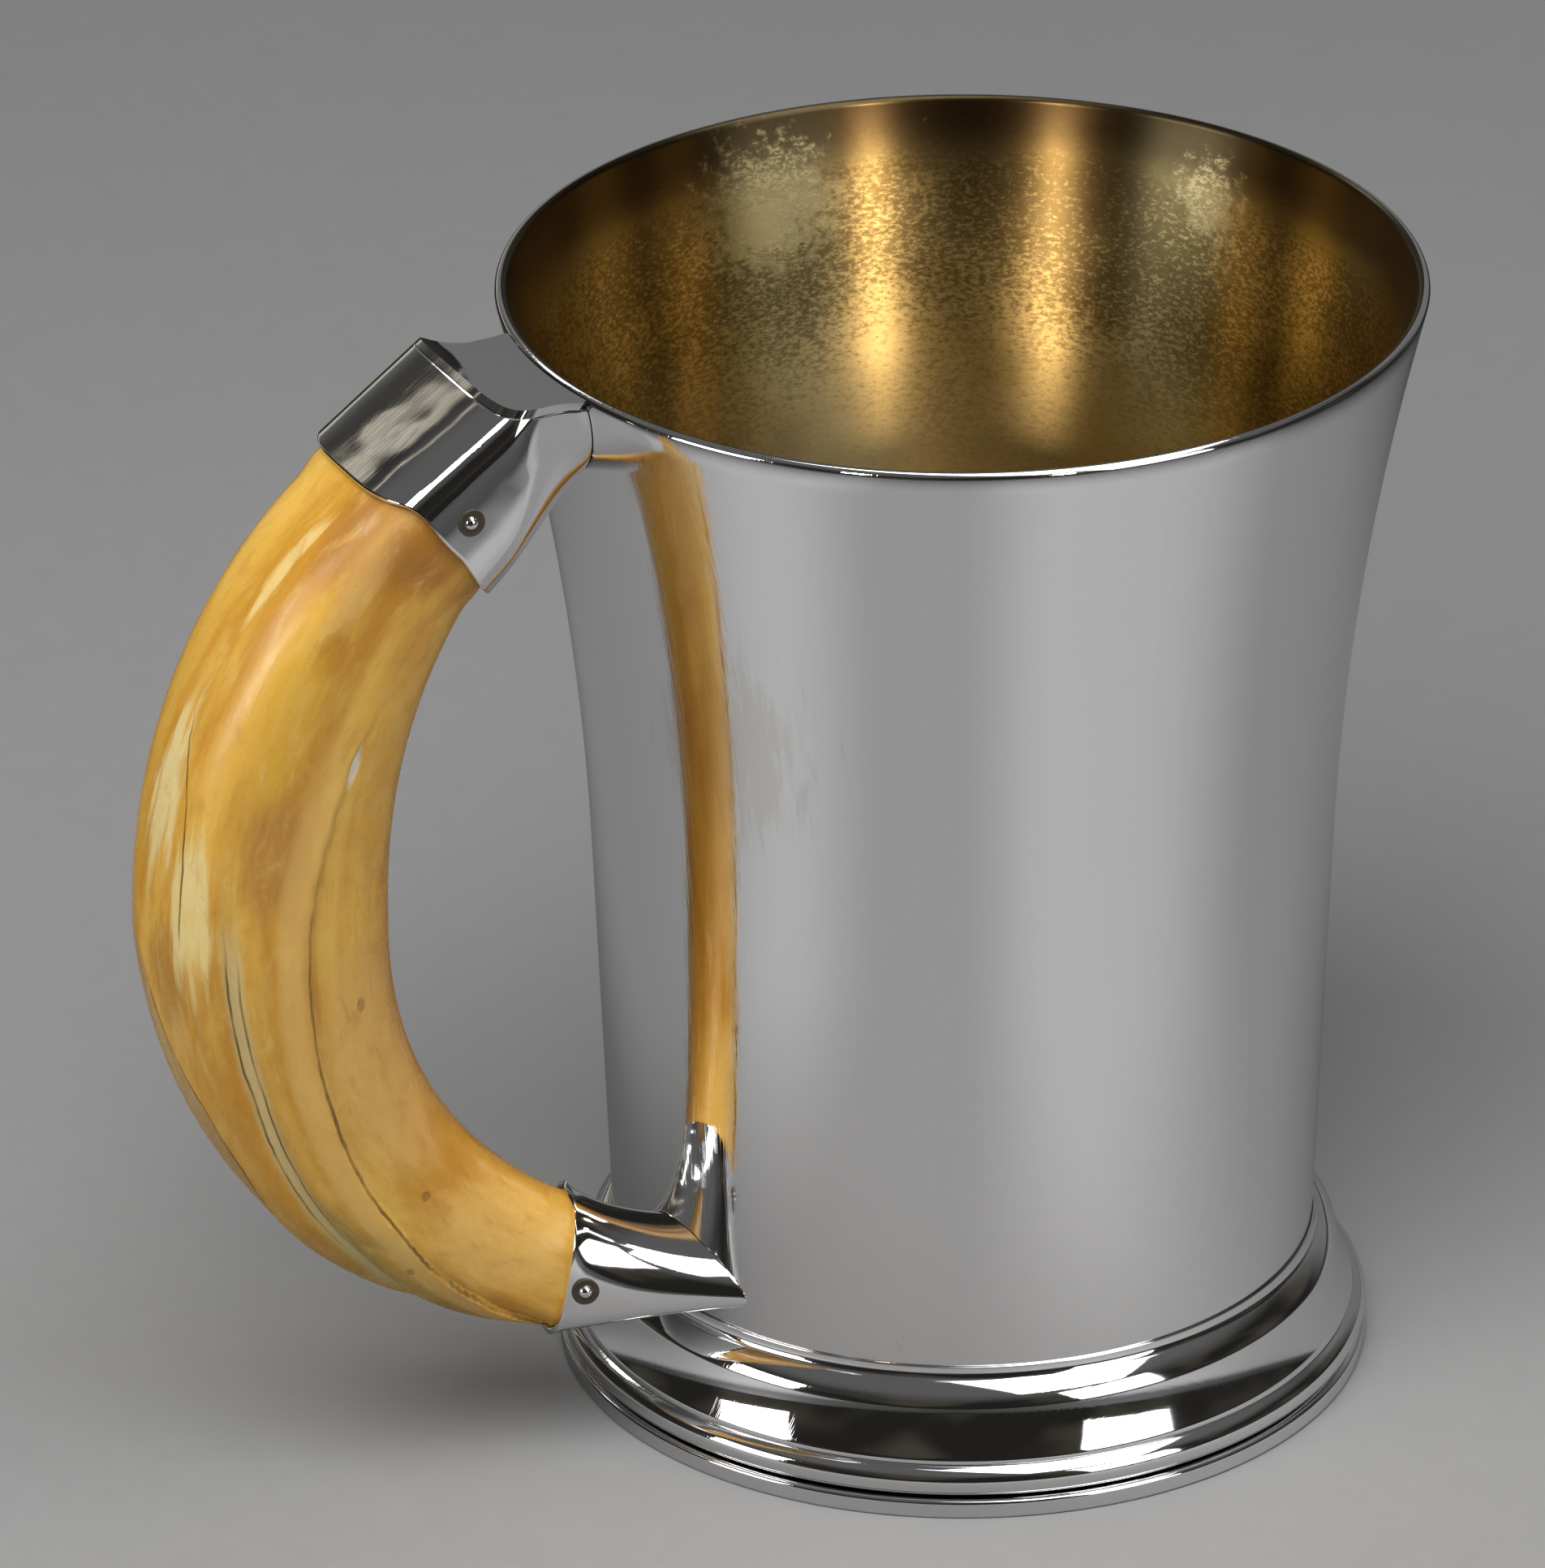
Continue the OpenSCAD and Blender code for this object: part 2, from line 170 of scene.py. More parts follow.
def soften_edges(piece, width, angle=40, segments=3):
    apply_modifier(
        piece, "BEVEL", width=width * MM, segments=segments, limit_method="ANGLE",
        angle_limit=math.radians(angle), harden_normals=False,
    )


def turned(outline, centre=(0, 0, 0), axis=(0, 0, 1), steps=TURN_STEPS):
    """An outline of points spun round an axis."""
    draw(outline)
    bpy.ops.mesh.spin(steps=steps, angle=math.tau, center=Vector(centre) * MM, axis=axis)
    weld()
    return smooth()


def upright(outline):
    """Radius and height of a closed outline as points over the X axis."""
    return [(r, 0, z) for r, z in outline + outline[:1]]


def wrapped(around, along, place, marks=()):
    """A grid wrapped into a tube: place gives the point at a share of the way along and round it.
    Each mark is a name, a kind and a function of the same shares, kept as an attribute of the vertices."""
    start_mesh()
    bpy.ops.mesh.primitive_grid_add(x_subdivisions=around, y_subdivisions=along, size=2)
    piece = bpy.context.object
    vertices = piece.data.vertices
    shares = [((vertex.co.y + 1) / 2, (vertex.co.x + 1) / 2 % 1) for vertex in vertices]
    for vertex, share in zip(vertices, shares):
        vertex.co = place(*share) * MM
    for name, kind, mark in marks:
        layer = piece.data.attributes.new(name, kind, "POINT")
        field = "vector" if kind == "FLOAT_VECTOR" else "value"
        for item, share in zip(layer.data, shares):
            setattr(item, field, mark(*share))
    bpy.ops.object.mode_set(mode="EDIT")
    weld()
    bpy.ops.object.mode_set(mode="OBJECT")
    middle = sum((place(0.5, i / 8) for i in range(8)), Vector()) / 8 * MM
    side = place(0.5, 0.25) * MM
    face = min(piece.data.polygons, key=lambda face: (face.center - side).length)
    inside_out = face.normal.dot(face.center - middle) < 0
    bpy.ops.object.mode_set(mode="EDIT")
    if inside_out:
        bpy.ops.mesh.flip_normals()
    return piece


def hand_over(piece, name, node, finish):
    """Name, finish and frame of a finished piece."""
    piece.name = name
    piece.data.name = name
    piece.data.materials.clear()
    piece.data.materials.append(finish)
    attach(piece, "root")
    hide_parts(node)
    return piece


# Barrel and foot

def make_barrel():
    heights = [barrel_z] + [flare_z + (lip_z - flare_z) * i / FLARE_STEPS for i in range(FLARE_STEPS + 1)]
    outside = [(barrel_r(z), z) for z in heights]
    inside = [(r - wall, z) for r, z in reversed(outside)]
    lip = arc((rim_r - lip_r, lip_z), lip_r, 0, 180)
    return turned(upright(outside[:-1] + lip + inside[1:]))


def make_floor_disc():
    edge = 0.15
    low_r = barrel_r(floor_z) - wall - solder_gap
    top_r = barrel_r(floor_top) - wall - solder_gap
    outline = (
        (0, floor_z),
        (low_r, floor_z),
        (top_r, floor_top - edge),
        (top_r - edge, floor_top),
        (0, floor_top),
    )
    return turned([(r, 0, z) for r, z in outline])


# Half-round, step, cove and fillet of the foot, from the band up, with the pulls of the two curves
round_r = 1.65
step_out = 0.35
step_h = 0.4
cove_top_in = 3.1
cove_top_down = 3.1
cove_pull = (0.65, 2.35)
fillet_out = 0.8
fillet_h = 1.35
fillet_edge = 0.25
fillet_pull = (0.05, 0.15)
foot_edge = 0.12
band_edge = 0.35


def make_moulded_foot():
    skirt_z = band_h + solder_gap
    round_at = (foot_r - round_r, skirt_z + round_r)
    cove_foot = (round_at[0] + step_out, skirt_z + 2 * round_r + step_h)
    cove_top = (foot_r - cove_top_in, foot_h - cove_top_down)
    cove_control = (cove_top[0] + cove_pull[0], cove_foot[1] + cove_pull[1])
    fillet_foot = (waist_r + fillet_out, foot_h - fillet_h)
    fillet_top = (waist_r + fillet_edge, foot_h)
    fillet_control = (fillet_top[0] + fillet_pull[0], fillet_foot[1] + fillet_pull[1])
    collar_r = waist_r + solder_gap
    inner_cove = [(r - foot_sheet, z - foot_sheet / 4) for r, z in bend(cove_top, cove_control, cove_foot)]
    outside = (
        arc(round_at, round_r, -90, 90)
        + [(cove_foot[0], cove_foot[1] - step_h)]
        + bend(cove_foot, cove_control, cove_top)
        + bend(fillet_foot, fillet_control, fillet_top)
    )
    inside = (
        [(collar_r, foot_h), (collar_r, barrel_z), (collar_r + foot_sheet, barrel_z)]
        + inner_cove
        + arc(round_at, round_r - foot_sheet, 90, -90)
        + [(round_at[0] - foot_sheet, skirt_z + foot_sheet), (round_at[0] - foot_sheet, skirt_z)]
    )
    piece = turned(upright(outside + inside))
    soften_edges(piece, foot_edge)
    return smooth()


def make_foot_band():
    inner_r = foot_r - band_w
    piece = turned(upright([(inner_r, 0), (foot_r, 0), (foot_r, band_h), (inner_r, band_h)]))
    soften_edges(piece, band_edge, segments=4)
    return smooth()


# Sockets

upper_mouth = Vector((-59.4, 0, 101))
upper_slope = math.radians(43)
upper_axis = Vector((math.cos(upper_slope), 0, math.sin(upper_slope)))
upper_inward = Vector((math.sin(upper_slope), 0, -math.cos(upper_slope)))
upper_half_t = 9.2
upper_half_w = 11.3
upper_taper = math.tan(math.radians(-1))
upper_taper_out = math.tan(math.radians(9))
upper_len = 33
neck_half_w = 8.7
neck_len = 8.2
neck_ease = 1
upper_square_in = 2.4
upper_square_out = 4.2
# How far the mouth's edge arches up near its outer corners, and how narrow each arch is
mouth_arch = 1.6
arch_turn = 1.45
plate_drop = 0.2
# Length and height over which the plate lifts from the rim to its outer edge, and how late it does
plate_len = 8.9
plate_lift = 1.7
plate_power = 3
# Sideways slope of the plate half way along it: the hand-made sheet is a little twisted
plate_twist = 0.08
# Rounding of the sheet edges, and faces round and along the sleeves and across and along the plate
sleeve_edge = 0.14
plate_edge = 0.2
sleeve_around = 240
upper_along = 48
lower_along = 60
plate_across = 40
plate_along = 60
# Widest turn from the plate's middle in which its corner is looked for, in degrees
corner_turn = 120


def plate_z(x, y):
    """Height of the plate's upper face: level at the rim and lifting ever more towards its outer edge."""
    out = max(0, -(x + rim_r) / plate_len)
    twisted = 4 * plate_twist * y * max(0, out * (1 - out))
    return mug_h - plate_drop + plate_lift * out ** plate_power - twisted


def upper_side(x):
    """Half width of the upper sleeve at a distance along X: it narrows towards the barrel."""
    return mix(upper_half_w, neck_half_w, smooth_step(x, -rim_r - neck_len, -rim_r + neck_ease))


def upper_point(angle, up, grow=0):
    """Point of the upper sleeve at an angle round it and a distance up from its mouth."""
    depth_in = upper_half_t - up * upper_taper + grow
    depth_out = upper_half_t - up * upper_taper_out + grow
    inward, sideways = oval(angle, depth_in, depth_out, 1, upper_square_in, upper_square_out)
    point = upper_mouth + up * upper_axis + inward * upper_inward
    point.y = sideways * (upper_side(point.x) + grow)
    return point


def clear_of_barrel(point, gap=solder_gap):
    """Distance of a point from the barrel's outside."""
    return math.hypot(point.x, point.y) - barrel_r(min(point.z, lip_z)) - gap


def below_plate(point, depth=0):
    """Distance of a point below the plate's upper face, or below a face that lies deeper."""
    return plate_z(point.x, point.y) - depth - point.z


def reach(clearance, low, high, steps=40):
    """The share at which a falling clearance becomes zero."""
    for _ in range(steps):
        middle = (low + high) / 2
        if clearance(middle) > 0:
            low = middle
        else:
            high = middle
    return low


def make_upper_sleeve():
    def ends(angle):
        def clearance(up):
            point = upper_point(angle, up)
            return min(clear_of_barrel(point), below_plate(point, socket_sheet + solder_gap))
        turn = min(180, arch_turn * abs(180 - angle))
        return mouth_arch * math.sin(math.radians(turn)) ** 2, reach(clearance, 0, upper_len)

    spans = {}

    def place(along, around):
        angle = 360 * around
        if angle not in spans:
            spans[angle] = ends(angle)
        return upper_point(angle, mix(*spans[angle], along))

    piece = wrapped(sleeve_around, upper_along, place)
    smooth()
    apply_modifier(piece, "SOLIDIFY", thickness=socket_sheet * MM, offset=-1)
    soften_edges(piece, sleeve_edge, segments=2)
    return smooth()


def make_upper_plate():
    """The plate as rows across it, each a closed loop over its upper and lower face."""
    def on_plate(angle, depth):
        def clearance(up):
            return below_plate(upper_point(angle, up), depth)
        return upper_point(angle, reach(clearance, 0, upper_len))

    corner = reach(lambda turn: clear_of_barrel(on_plate(180 - turn, 0)), 0, corner_turn)
    seat_r = rim_r + solder_gap
    edges = {}

    def seat(y):
        return -math.sqrt(seat_r ** 2 - y ** 2)

    def place(along, around):
        step = round(around * 2 * plate_across) % (2 * plate_across)
        below = step >= plate_across
        depth = socket_sheet if below else 0
        if (along, below) not in edges:
            edges[along, below] = on_plate(180 - corner * along, depth)
        edge = edges[along, below]
        side = 2 * (step % plate_across) / (plate_across - 1) - 1
        y = edge.y * (-side if below else side)
        x = edge.x + along ** 4 * (seat(y) - seat(edge.y))
        return Vector((x, y, plate_z(x, y) - depth))

    piece = wrapped(2 * plate_across, plate_along, place)
    bpy.ops.mesh.fill_holes(sides=0)
    weld()
    smooth()
    soften_edges(piece, plate_edge, segments=4)
    return smooth()


lower_mouth = Vector((-47.2, -3.5, 17.5))
lower_turn = math.radians(13)
lower_axis = Vector((math.cos(lower_turn), -math.sin(lower_turn), 0))
lower_across = Vector((math.sin(lower_turn), math.cos(lower_turn), 0))
lower_len = 24.8
lower_half_w = 6.3
lower_up = 10.6
lower_down = 4.2
tail_up = 4.9
tail_down = 0.5
tail_edge = 0.4
tail_half_w = 10
# Least depth below the sleeve's widest line
least_depth = 0.2
lower_square = 2.4
tail_square_up = 1.6
tail_square_down = 4.5
lower_tilt = 0.22
# The sleeve's sheet is dressed thinner than its solid; its mouth flares by this much over this length
dressed = 0.3
lip_flare = 0.15
lip_len = 1.6


def lower_point(angle, share, grow=0):
    """Point of the lower sleeve at an angle round it, from its top, and at a share of its length."""
    top = mix(lower_up, tail_up, 1 - (1 - share) ** 3)
    bottom = mix(-lower_down, -tail_down, share)
    widest = (tail_edge - tail_down) * share
    half_w = mix(lower_half_w, tail_half_w, share ** 2)
    square_up = mix(lower_square, tail_square_up, share)
    square_down = mix(lower_square, tail_square_down, share)
    depth = max(widest - bottom + grow, least_depth)
    up, sideways = oval(angle, top - widest + grow, depth, half_w + grow, square_up, square_down)
    ahead = share * lower_len + lower_tilt * (1 - share) * (up + widest)
    return lower_mouth + ahead * lower_axis + sideways * lower_across + Vector((0, 0, up + widest))


def make_lower_sleeve():
    spans = {}

    def place(along, around):
        angle = -360 * around
        if angle not in spans:
            spans[angle] = reach(lambda at: clear_of_barrel(lower_point(angle, at, -dressed)), 0, 1)
        share = spans[angle] * along
        flare = lip_flare * max(0, 1 - share * lower_len / lip_len) ** 2
        return lower_point(angle, share, flare - dressed)

    piece = wrapped(sleeve_around, lower_along, place)
    smooth()
    apply_modifier(piece, "SOLIDIFY", thickness=(socket_sheet - dressed) * MM, offset=-1)
    soften_edges(piece, sleeve_edge, segments=2)
    return smooth()


# Pins

pin_r = 0.8
ring_r = 1.35
ring_h = 0.12
# Length of the pin's thick end under the ring, and how far the dome's edge stands above its seat
ring_root = 0.5
dome_lift = 0.02
dome_r = 0.7
dome_h = 0.5
pin_edge = 0.06
pin_steps = 64
# Places of the pins: up from the upper mouth and outwards, and in from the lower mouth and up
upper_pin_at = upper_mouth + 4.2 * upper_axis - 1.8 * upper_inward
lower_pin_at = lower_mouth + 2.4 * lower_axis + Vector((0, 0, 2))


def make_pin(at, axis, half_w):
    """A cross pin with a dome in a sunk ring at each end, turned about its own axis."""
    seat = half_w + solder_gap
    ball_r = (dome_r ** 2 + dome_h ** 2) / (2 * dome_h)
    spread = math.degrees(math.asin(dome_r / ball_r))
    dome = arc((seat + dome_h - ball_r, 0), ball_r, spread, 0)
    ring = [
        (seat - ring_root, pin_r),
        (seat - ring_root, ring_r),
        (seat + ring_h, ring_r),
        (seat + dome_lift, dome_r),
    ]
    far_half = ring + dome[1:]
    outline = [(-x, r) for x, r in reversed(far_half)] + far_half
    up = Vector((0, 0, 1))
    piece = turned([at + x * axis + r * up for x, r in outline], at, axis, pin_steps)
    soften_edges(piece, pin_edge)
    return smooth()


# Tusk

upper_tenon = 8.8
lower_tenon = 4.8
tusk_back = Vector((-74.6, 1.5, 62))
tusk_dip = math.radians(20)
lower_way = math.cos(tusk_dip) * lower_axis - Vector((0, 0, math.sin(tusk_dip)))
climb = upper_mouth.z - tusk_back.z
drop = tusk_back.z - lower_mouth.z
# How strongly each curve leaves its two ends, as a share of its climb or drop
upper_pulls = (0.36, 0.4)
lower_pulls = (0.6, 0.28)
upper_curve = (
    upper_mouth,
    upper_mouth - upper_pulls[0] * climb * upper_axis,
    tusk_back + Vector((0, 0, upper_pulls[1] * climb)),
    tusk_back,
)
lower_curve = (
    tusk_back,
    tusk_back - Vector((0, 0, lower_pulls[0] * drop)),
    lower_mouth - lower_pulls[1] * drop * lower_way,
    lower_mouth,
)
# Inner depth, outer depth, half width, inner and outer squareness,
# at the upper mouth, at the back and at the lower mouth
upper_depth = upper_half_t - snug
upper_size = (upper_depth, upper_depth, upper_half_w - snug, upper_square_in, upper_square_out)
back_size = (12.6, 12.6, 10.5, 2.4, 2.4)
lower_size = (lower_up - snug, lower_down - snug, lower_half_w - snug, lower_square, lower_square)
# How late the lower curve takes on the size of the lower mouth
lower_power = 1.15
# Lengths of the tusk's four stretches, from the upper tenon to the lower one
upper_curve_len = 43.1
lower_curve_len = 56
stretches = (upper_tenon, upper_curve_len, lower_curve_len, lower_tenon)
tusk_len = sum(stretches)
tusk_around = 216
tusk_along = 190


def curve_point(curve, t):
    weights = ((1 - t) ** 3, 3 * (1 - t) ** 2 * t, 3 * (1 - t) * t * t, t ** 3)
    return sum((w * p for w, p in zip(weights, curve)), Vector())


def curve_way(curve, t):
    weights = ((1 - t) ** 2, 2 * (1 - t) * t, t * t)
    return sum((w * (b - a) for w, a, b in zip(weights, curve, curve[1:])), Vector()).normalized()


@functools.cache
def station_at(share):
    """Station along the tusk: -1 to 0 in the upper sleeve, 1 at its back, 2 to 3 in the lower sleeve."""
    rest = share * tusk_len
    for number, length in enumerate(stretches):
        if rest <= length or number == len(stretches) - 1:
            return number - 1 + rest / length
        rest -= length


@functools.cache
def tusk_ring(station):
    """Centre, inward and sideways directions and sizes of the tusk's section at a station on its curves."""
    if station <= 1:
        t = max(0, station)
        curve = upper_curve
        share = 1 - (1 - t) ** 2
        sizes = [mix(a, b, share) for a, b in zip(upper_size, back_size)]
    else:
        t = min(1, station - 1)
        curve = lower_curve
        share = t ** lower_power
        sizes = [mix(a, b, share) for a, b in zip(back_size, lower_size)]
    way = curve_way(curve, t)
    inward = way.cross(Vector((0, 1, 0))).normalized()
    return curve_point(curve, t), inward, inward.cross(way), sizes


# Lines along the tusk as stations and angles round its section: 0 is the inner side, -90 the near side
tusk_lines = {
    "long_fold": ((0.2, -76), (0.5, -81), (0.9, -88), (1.3, -90), (1.55, -94), (1.8, -112), (2, -142)),
    "outer_valley": (
        (0.6, -126), (1, -122), (1.2, -122), (1.35, -127), (1.55, -136), (1.75, -163), (2, -190),
    ),
    "back_edge": ((0.6, -196), (1, -184), (1.12, -171), (1.2, -158), (1.3, -153), (1.6, -170), (2, -210)),
    "short_crack": ((0.4, -186), (0.58, -173), (0.7, -159), (0.82, -153), (0.95, -152), (1.2, -148)),
}


def line_angle(points, station):
    """Angle of a line at a station, between its points."""
    for (low, a), (high, b) in zip(points, points[1:]):
        if station <= high:
            return mix(a, b, min(1, max(0, (station - low) / (high - low))))
    return points[-1][1]


def from_line(name, station, angle):
    """Signed distance round the section from a line; positive towards the tusk's outer side."""
    depth_in, depth_out, half_w = tusk_ring(station)[3][:3]
    turn = (line_angle(tusk_lines[name], station) - angle + 180) % 360 - 180
    return math.radians(turn) * (depth_in + depth_out + 2 * half_w) / 4


# Heights and widths of the tusk's relief
fold_h = 0.6
fold_run = 3
fold_step = 0.14
fold_dip = 0.35
valley_depth = 1.1
valley_w = 1.5
edge_h = 0.5
edge_w = 1.5
flute_h = 0.1
tusk_trim = 0.45


def tusk_swell(station, angle):
    """How far the surface stands out from the plain section: folds, valleys and shallow flutes."""
    fold = from_line("long_fold", station, angle)
    valley = from_line("outer_valley", station, angle)
    edge = from_line("back_edge", station, angle)
    outer = smooth_step(fold, -fold_step, fold_step)
    raised = outer * fold_h * math.exp(-max(0, fold) / fold_run)
    sunk = (1 - outer) * fold_dip * math.exp(-max(0, -fold) / fold_run)
    swell = (raised - sunk) * smooth_step(station, 0.25, 1.1)
    swell -= valley_depth * math.exp(-(valley / valley_w) ** 2) * smooth_step(station, 0.75, 1.15)
    edge_share = smooth_step(station, 0.7, 1.05) * (1 - smooth_step(station, 1.4, 1.7))
    swell += edge_h * math.exp(-abs(edge) / edge_w) * edge_share
    swell += flute_h * math.sin(math.radians(5 * angle + 60 * station)) - tusk_trim
    return swell * smooth_step(station, 0, 0.08) * (1 - smooth_step(station, 1.93, 2))


def tusk_point(station, angle):
    if station < 0:
        return upper_point(angle, -station * upper_tenon, -snug)
    tenon_start = lower_point(angle, 0, -snug)
    if station > 2:
        return lower_point(angle, (station - 2) * lower_tenon / lower_len, -snug)
    centre, inward, sideways, sizes = tusk_ring(station)
    x, y = oval(angle, *sizes)
    out = tusk_swell(station, angle) / math.hypot(x, y)
    point = centre + (1 + out) * (x * inward + y * sideways)
    return point.lerp(tenon_start, smooth_step(station, 1.85, 2))


def share_at(station):
    """Share of the tusk's length at a station."""
    whole = min(len(stretches) - 1, int(station + 1))
    return (sum(stretches[:whole]) + (station + 1 - whole) * stretches[whole]) / tusk_len


def straightened(station, angle):
    """Place on the tusk as if it were straight: across its section and along it, in millimetres."""
    x, y = oval(angle, *tusk_ring(station)[3])
    return x, y, share_at(station) * tusk_len


def make_tusk():
    def at(share, turn):
        return station_at(share), 360 * turn - 180

    def line_mark(name):
        def mark(share, turn):
            station, angle = at(share, turn)
            return from_line(name, station, angle)
        return name, "FLOAT", mark

    marks = [line_mark(name) for name in tusk_lines]
    marks.append(("station", "FLOAT", lambda share, turn: station_at(share)))
    marks.append(("straight", "FLOAT_VECTOR", lambda share, turn: straightened(*at(share, turn))))
    piece = wrapped(tusk_around, tusk_along, lambda share, turn: tusk_point(*at(share, turn)), marks)
    bpy.ops.mesh.fill_holes(sides=0)
    weld()
    smooth(70)
    return piece


# Nodes

def tone(red, green, blue):
    """Colour from 0 to 255 as seen on a screen, as light."""
    def light(value):
        share = value / 255
        return share / 12.92 if share <= 0.04045 else ((share + 0.055) / 1.055) ** 2.4
    return light(red), light(green), light(blue), 1


def add(tree, kind, inputs=None, **settings):
    """A node with its settings; each input is a value or the socket that feeds it."""
    made = tree.nodes.new(kind)
    for name, value in settings.items():
        setattr(made, name, value)
    for name, value in (inputs or {}).items():
        feed(tree, made.inputs[name], value)
    return made


def feed(tree, socket, value):
    if isinstance(value, bpy.types.NodeSocket):
        tree.links.new(value, socket)
    else:
        socket.default_value = value


def sums(tree, operation, first, second=0.0):
    return add(tree, "ShaderNodeMath", {0: first, 1: second}, operation=operation).outputs[0]


def vectors(tree, operation, inputs):
    """Outputs of a vector sum: a vector first, or a number as Value."""
    return add(tree, "ShaderNodeVectorMath", inputs, operation=operation).outputs


def remap(tree, value, low, high, to_low, to_high):
    """An even S from one span of values to another."""
    inputs = {"Value": value, "From Min": low, "From Max": high, "To Min": to_low, "To Max": to_high}
    return add(tree, "ShaderNodeMapRange", inputs, interpolation_type="SMOOTHSTEP").outputs[0]


def mix_colours(tree, share, first, second):
    inputs = {0: share, 6: first, 7: second}
    return add(tree, "ShaderNodeMix", inputs, data_type="RGBA").outputs[2]


def stretch(tree, vector, scale, turn=(0, 0, 0)):
    return add(tree, "ShaderNodeMapping", {"Vector": vector, "Scale": scale, "Rotation": turn}).outputs[0]


def noise(tree, vector, scale=1.0, detail=4.0, roughness=0.55, distortion=0.0):
    inputs = {"Vector": vector, "Scale": scale, "Detail": detail}
    inputs.update({"Roughness": roughness, "Distortion": distortion})
    return add(tree, "ShaderNodeTexNoise", inputs).outputs[0]


def bump(tree, height, depth, **more):
    return add(tree, "ShaderNodeBump", {"Height": height, "Distance": depth, **more}).outputs[0]


def new_finish(name):
    finish = bpy.data.materials.new(name)
    finish.use_nodes = True
    tree = finish.node_tree
    return finish, tree, tree.nodes["Principled BSDF"]


def object_place(tree):
    return add(tree, "ShaderNodeTexCoord").outputs["Object"]


def new_group(name, inputs, outputs):
    """A node group with its sockets, and the nodes that hold them inside."""
    tree = bpy.data.node_groups.new(name, "ShaderNodeTree")
    for label, kind in inputs:
        tree.interface.new_socket(label, in_out="INPUT", socket_type=kind)
    for label, kind in outputs:
        tree.interface.new_socket(label, in_out="OUTPUT", socket_type=kind)
    return tree, tree.nodes.new("NodeGroupInput").outputs, tree.nodes.new("NodeGroupOutput").inputs


def use_group(tree, group, inputs):
    made = tree.nodes.new("ShaderNodeGroup")
    made.node_tree = group
    for name, value in inputs.items():
        feed(tree, made.inputs[name], value)
    return made.outputs[0]


def make_scratches():
    """Fine straight scratches in three directions, as a height from 0 to 1."""
    inputs = (("Vector", "NodeSocketVector"), ("Density", "NodeSocketFloat"))
    tree, start, end = new_group("fine_scratches", inputs, (("Height", "NodeSocketFloat"),))
    total = 0.0
    for turn in ((0.2, 0.5, 0.9), (1.1, -0.6, 2.1), (-0.7, 1.3, 0.3)):
        dense = vectors(tree, "SCALE", {0: start["Vector"], "Scale": start["Density"]})[0]
        lines = noise(tree, stretch(tree, dense, (1, 30, 1), turn), detail=1)
        away = sums(tree, "ABSOLUTE", sums(tree, "SUBTRACT", lines, 0.5))
        total = sums(tree, "ADD", remap(tree, away, 0.0, 0.03, 0.33, 0.0), total)
    feed(tree, end["Height"], total)
    return tree


def make_tarnish():
    """Cloudy patches of tarnish with speckled edges, as a mask."""
    inputs = (("Vector", "NodeSocketVector"), ("Scale", "NodeSocketFloat"), ("Share", "NodeSocketFloat"))
    tree, start, end = new_group("tarnish", inputs, (("Mask", "NodeSocketFloat"),))
    clouds = noise(tree, start["Vector"], start["Scale"], 6, 0.68)
    speckle = noise(tree, start["Vector"], sums(tree, "MULTIPLY", start["Scale"], 14), 3, 0.7)
    both = sums(tree, "ADD", sums(tree, "MULTIPLY", clouds, 0.75), sums(tree, "MULTIPLY", speckle, 0.25))
    low = sums(tree, "SUBTRACT", 0.68, sums(tree, "MULTIPLY", start["Share"], 0.25))
    feed(tree, end["Mask"], remap(tree, both, low, sums(tree, "ADD", low, 0.16), 0.0, 1.0))
    return tree


def make_patch():
    """One patch with a ragged edge round a centre, as a mask."""
    inputs = (
        ("Vector", "NodeSocketVector"), ("Centre", "NodeSocketVector"),
        ("Reach", "NodeSocketVector"), ("Ragged", "NodeSocketFloat"),
    )
    tree, start, end = new_group("patch", inputs, (("Mask", "NodeSocketFloat"),))
    away = vectors(tree, "SUBTRACT", {0: start["Vector"], 1: start["Centre"]})[0]
    shares = vectors(tree, "DIVIDE", {0: away, 1: start["Reach"]})[0]
    far = vectors(tree, "LENGTH", {0: shares})["Value"]
    lengthwise = stretch(tree, start["Vector"], (1, 1, 0.12))
    edge = sums(tree, "SUBTRACT", noise(tree, lengthwise, 0.8, 5, 0.6), 0.5)
    ragged = sums(tree, "ADD", far, sums(tree, "MULTIPLY", edge, start["Ragged"]))
    feed(tree, end["Mask"], remap(tree, ragged, 0.45, 1.0, 1.0, 0.0))
    return tree


# Finishes

silver_tone = tone(246, 246, 247)
tarnish_tone = tone(176, 164, 136)
# The barrel's smudge, in millimetres
barrel_smudge = (-32.5, -17.6, 79)
smudge_reach = (10, 10, 11)


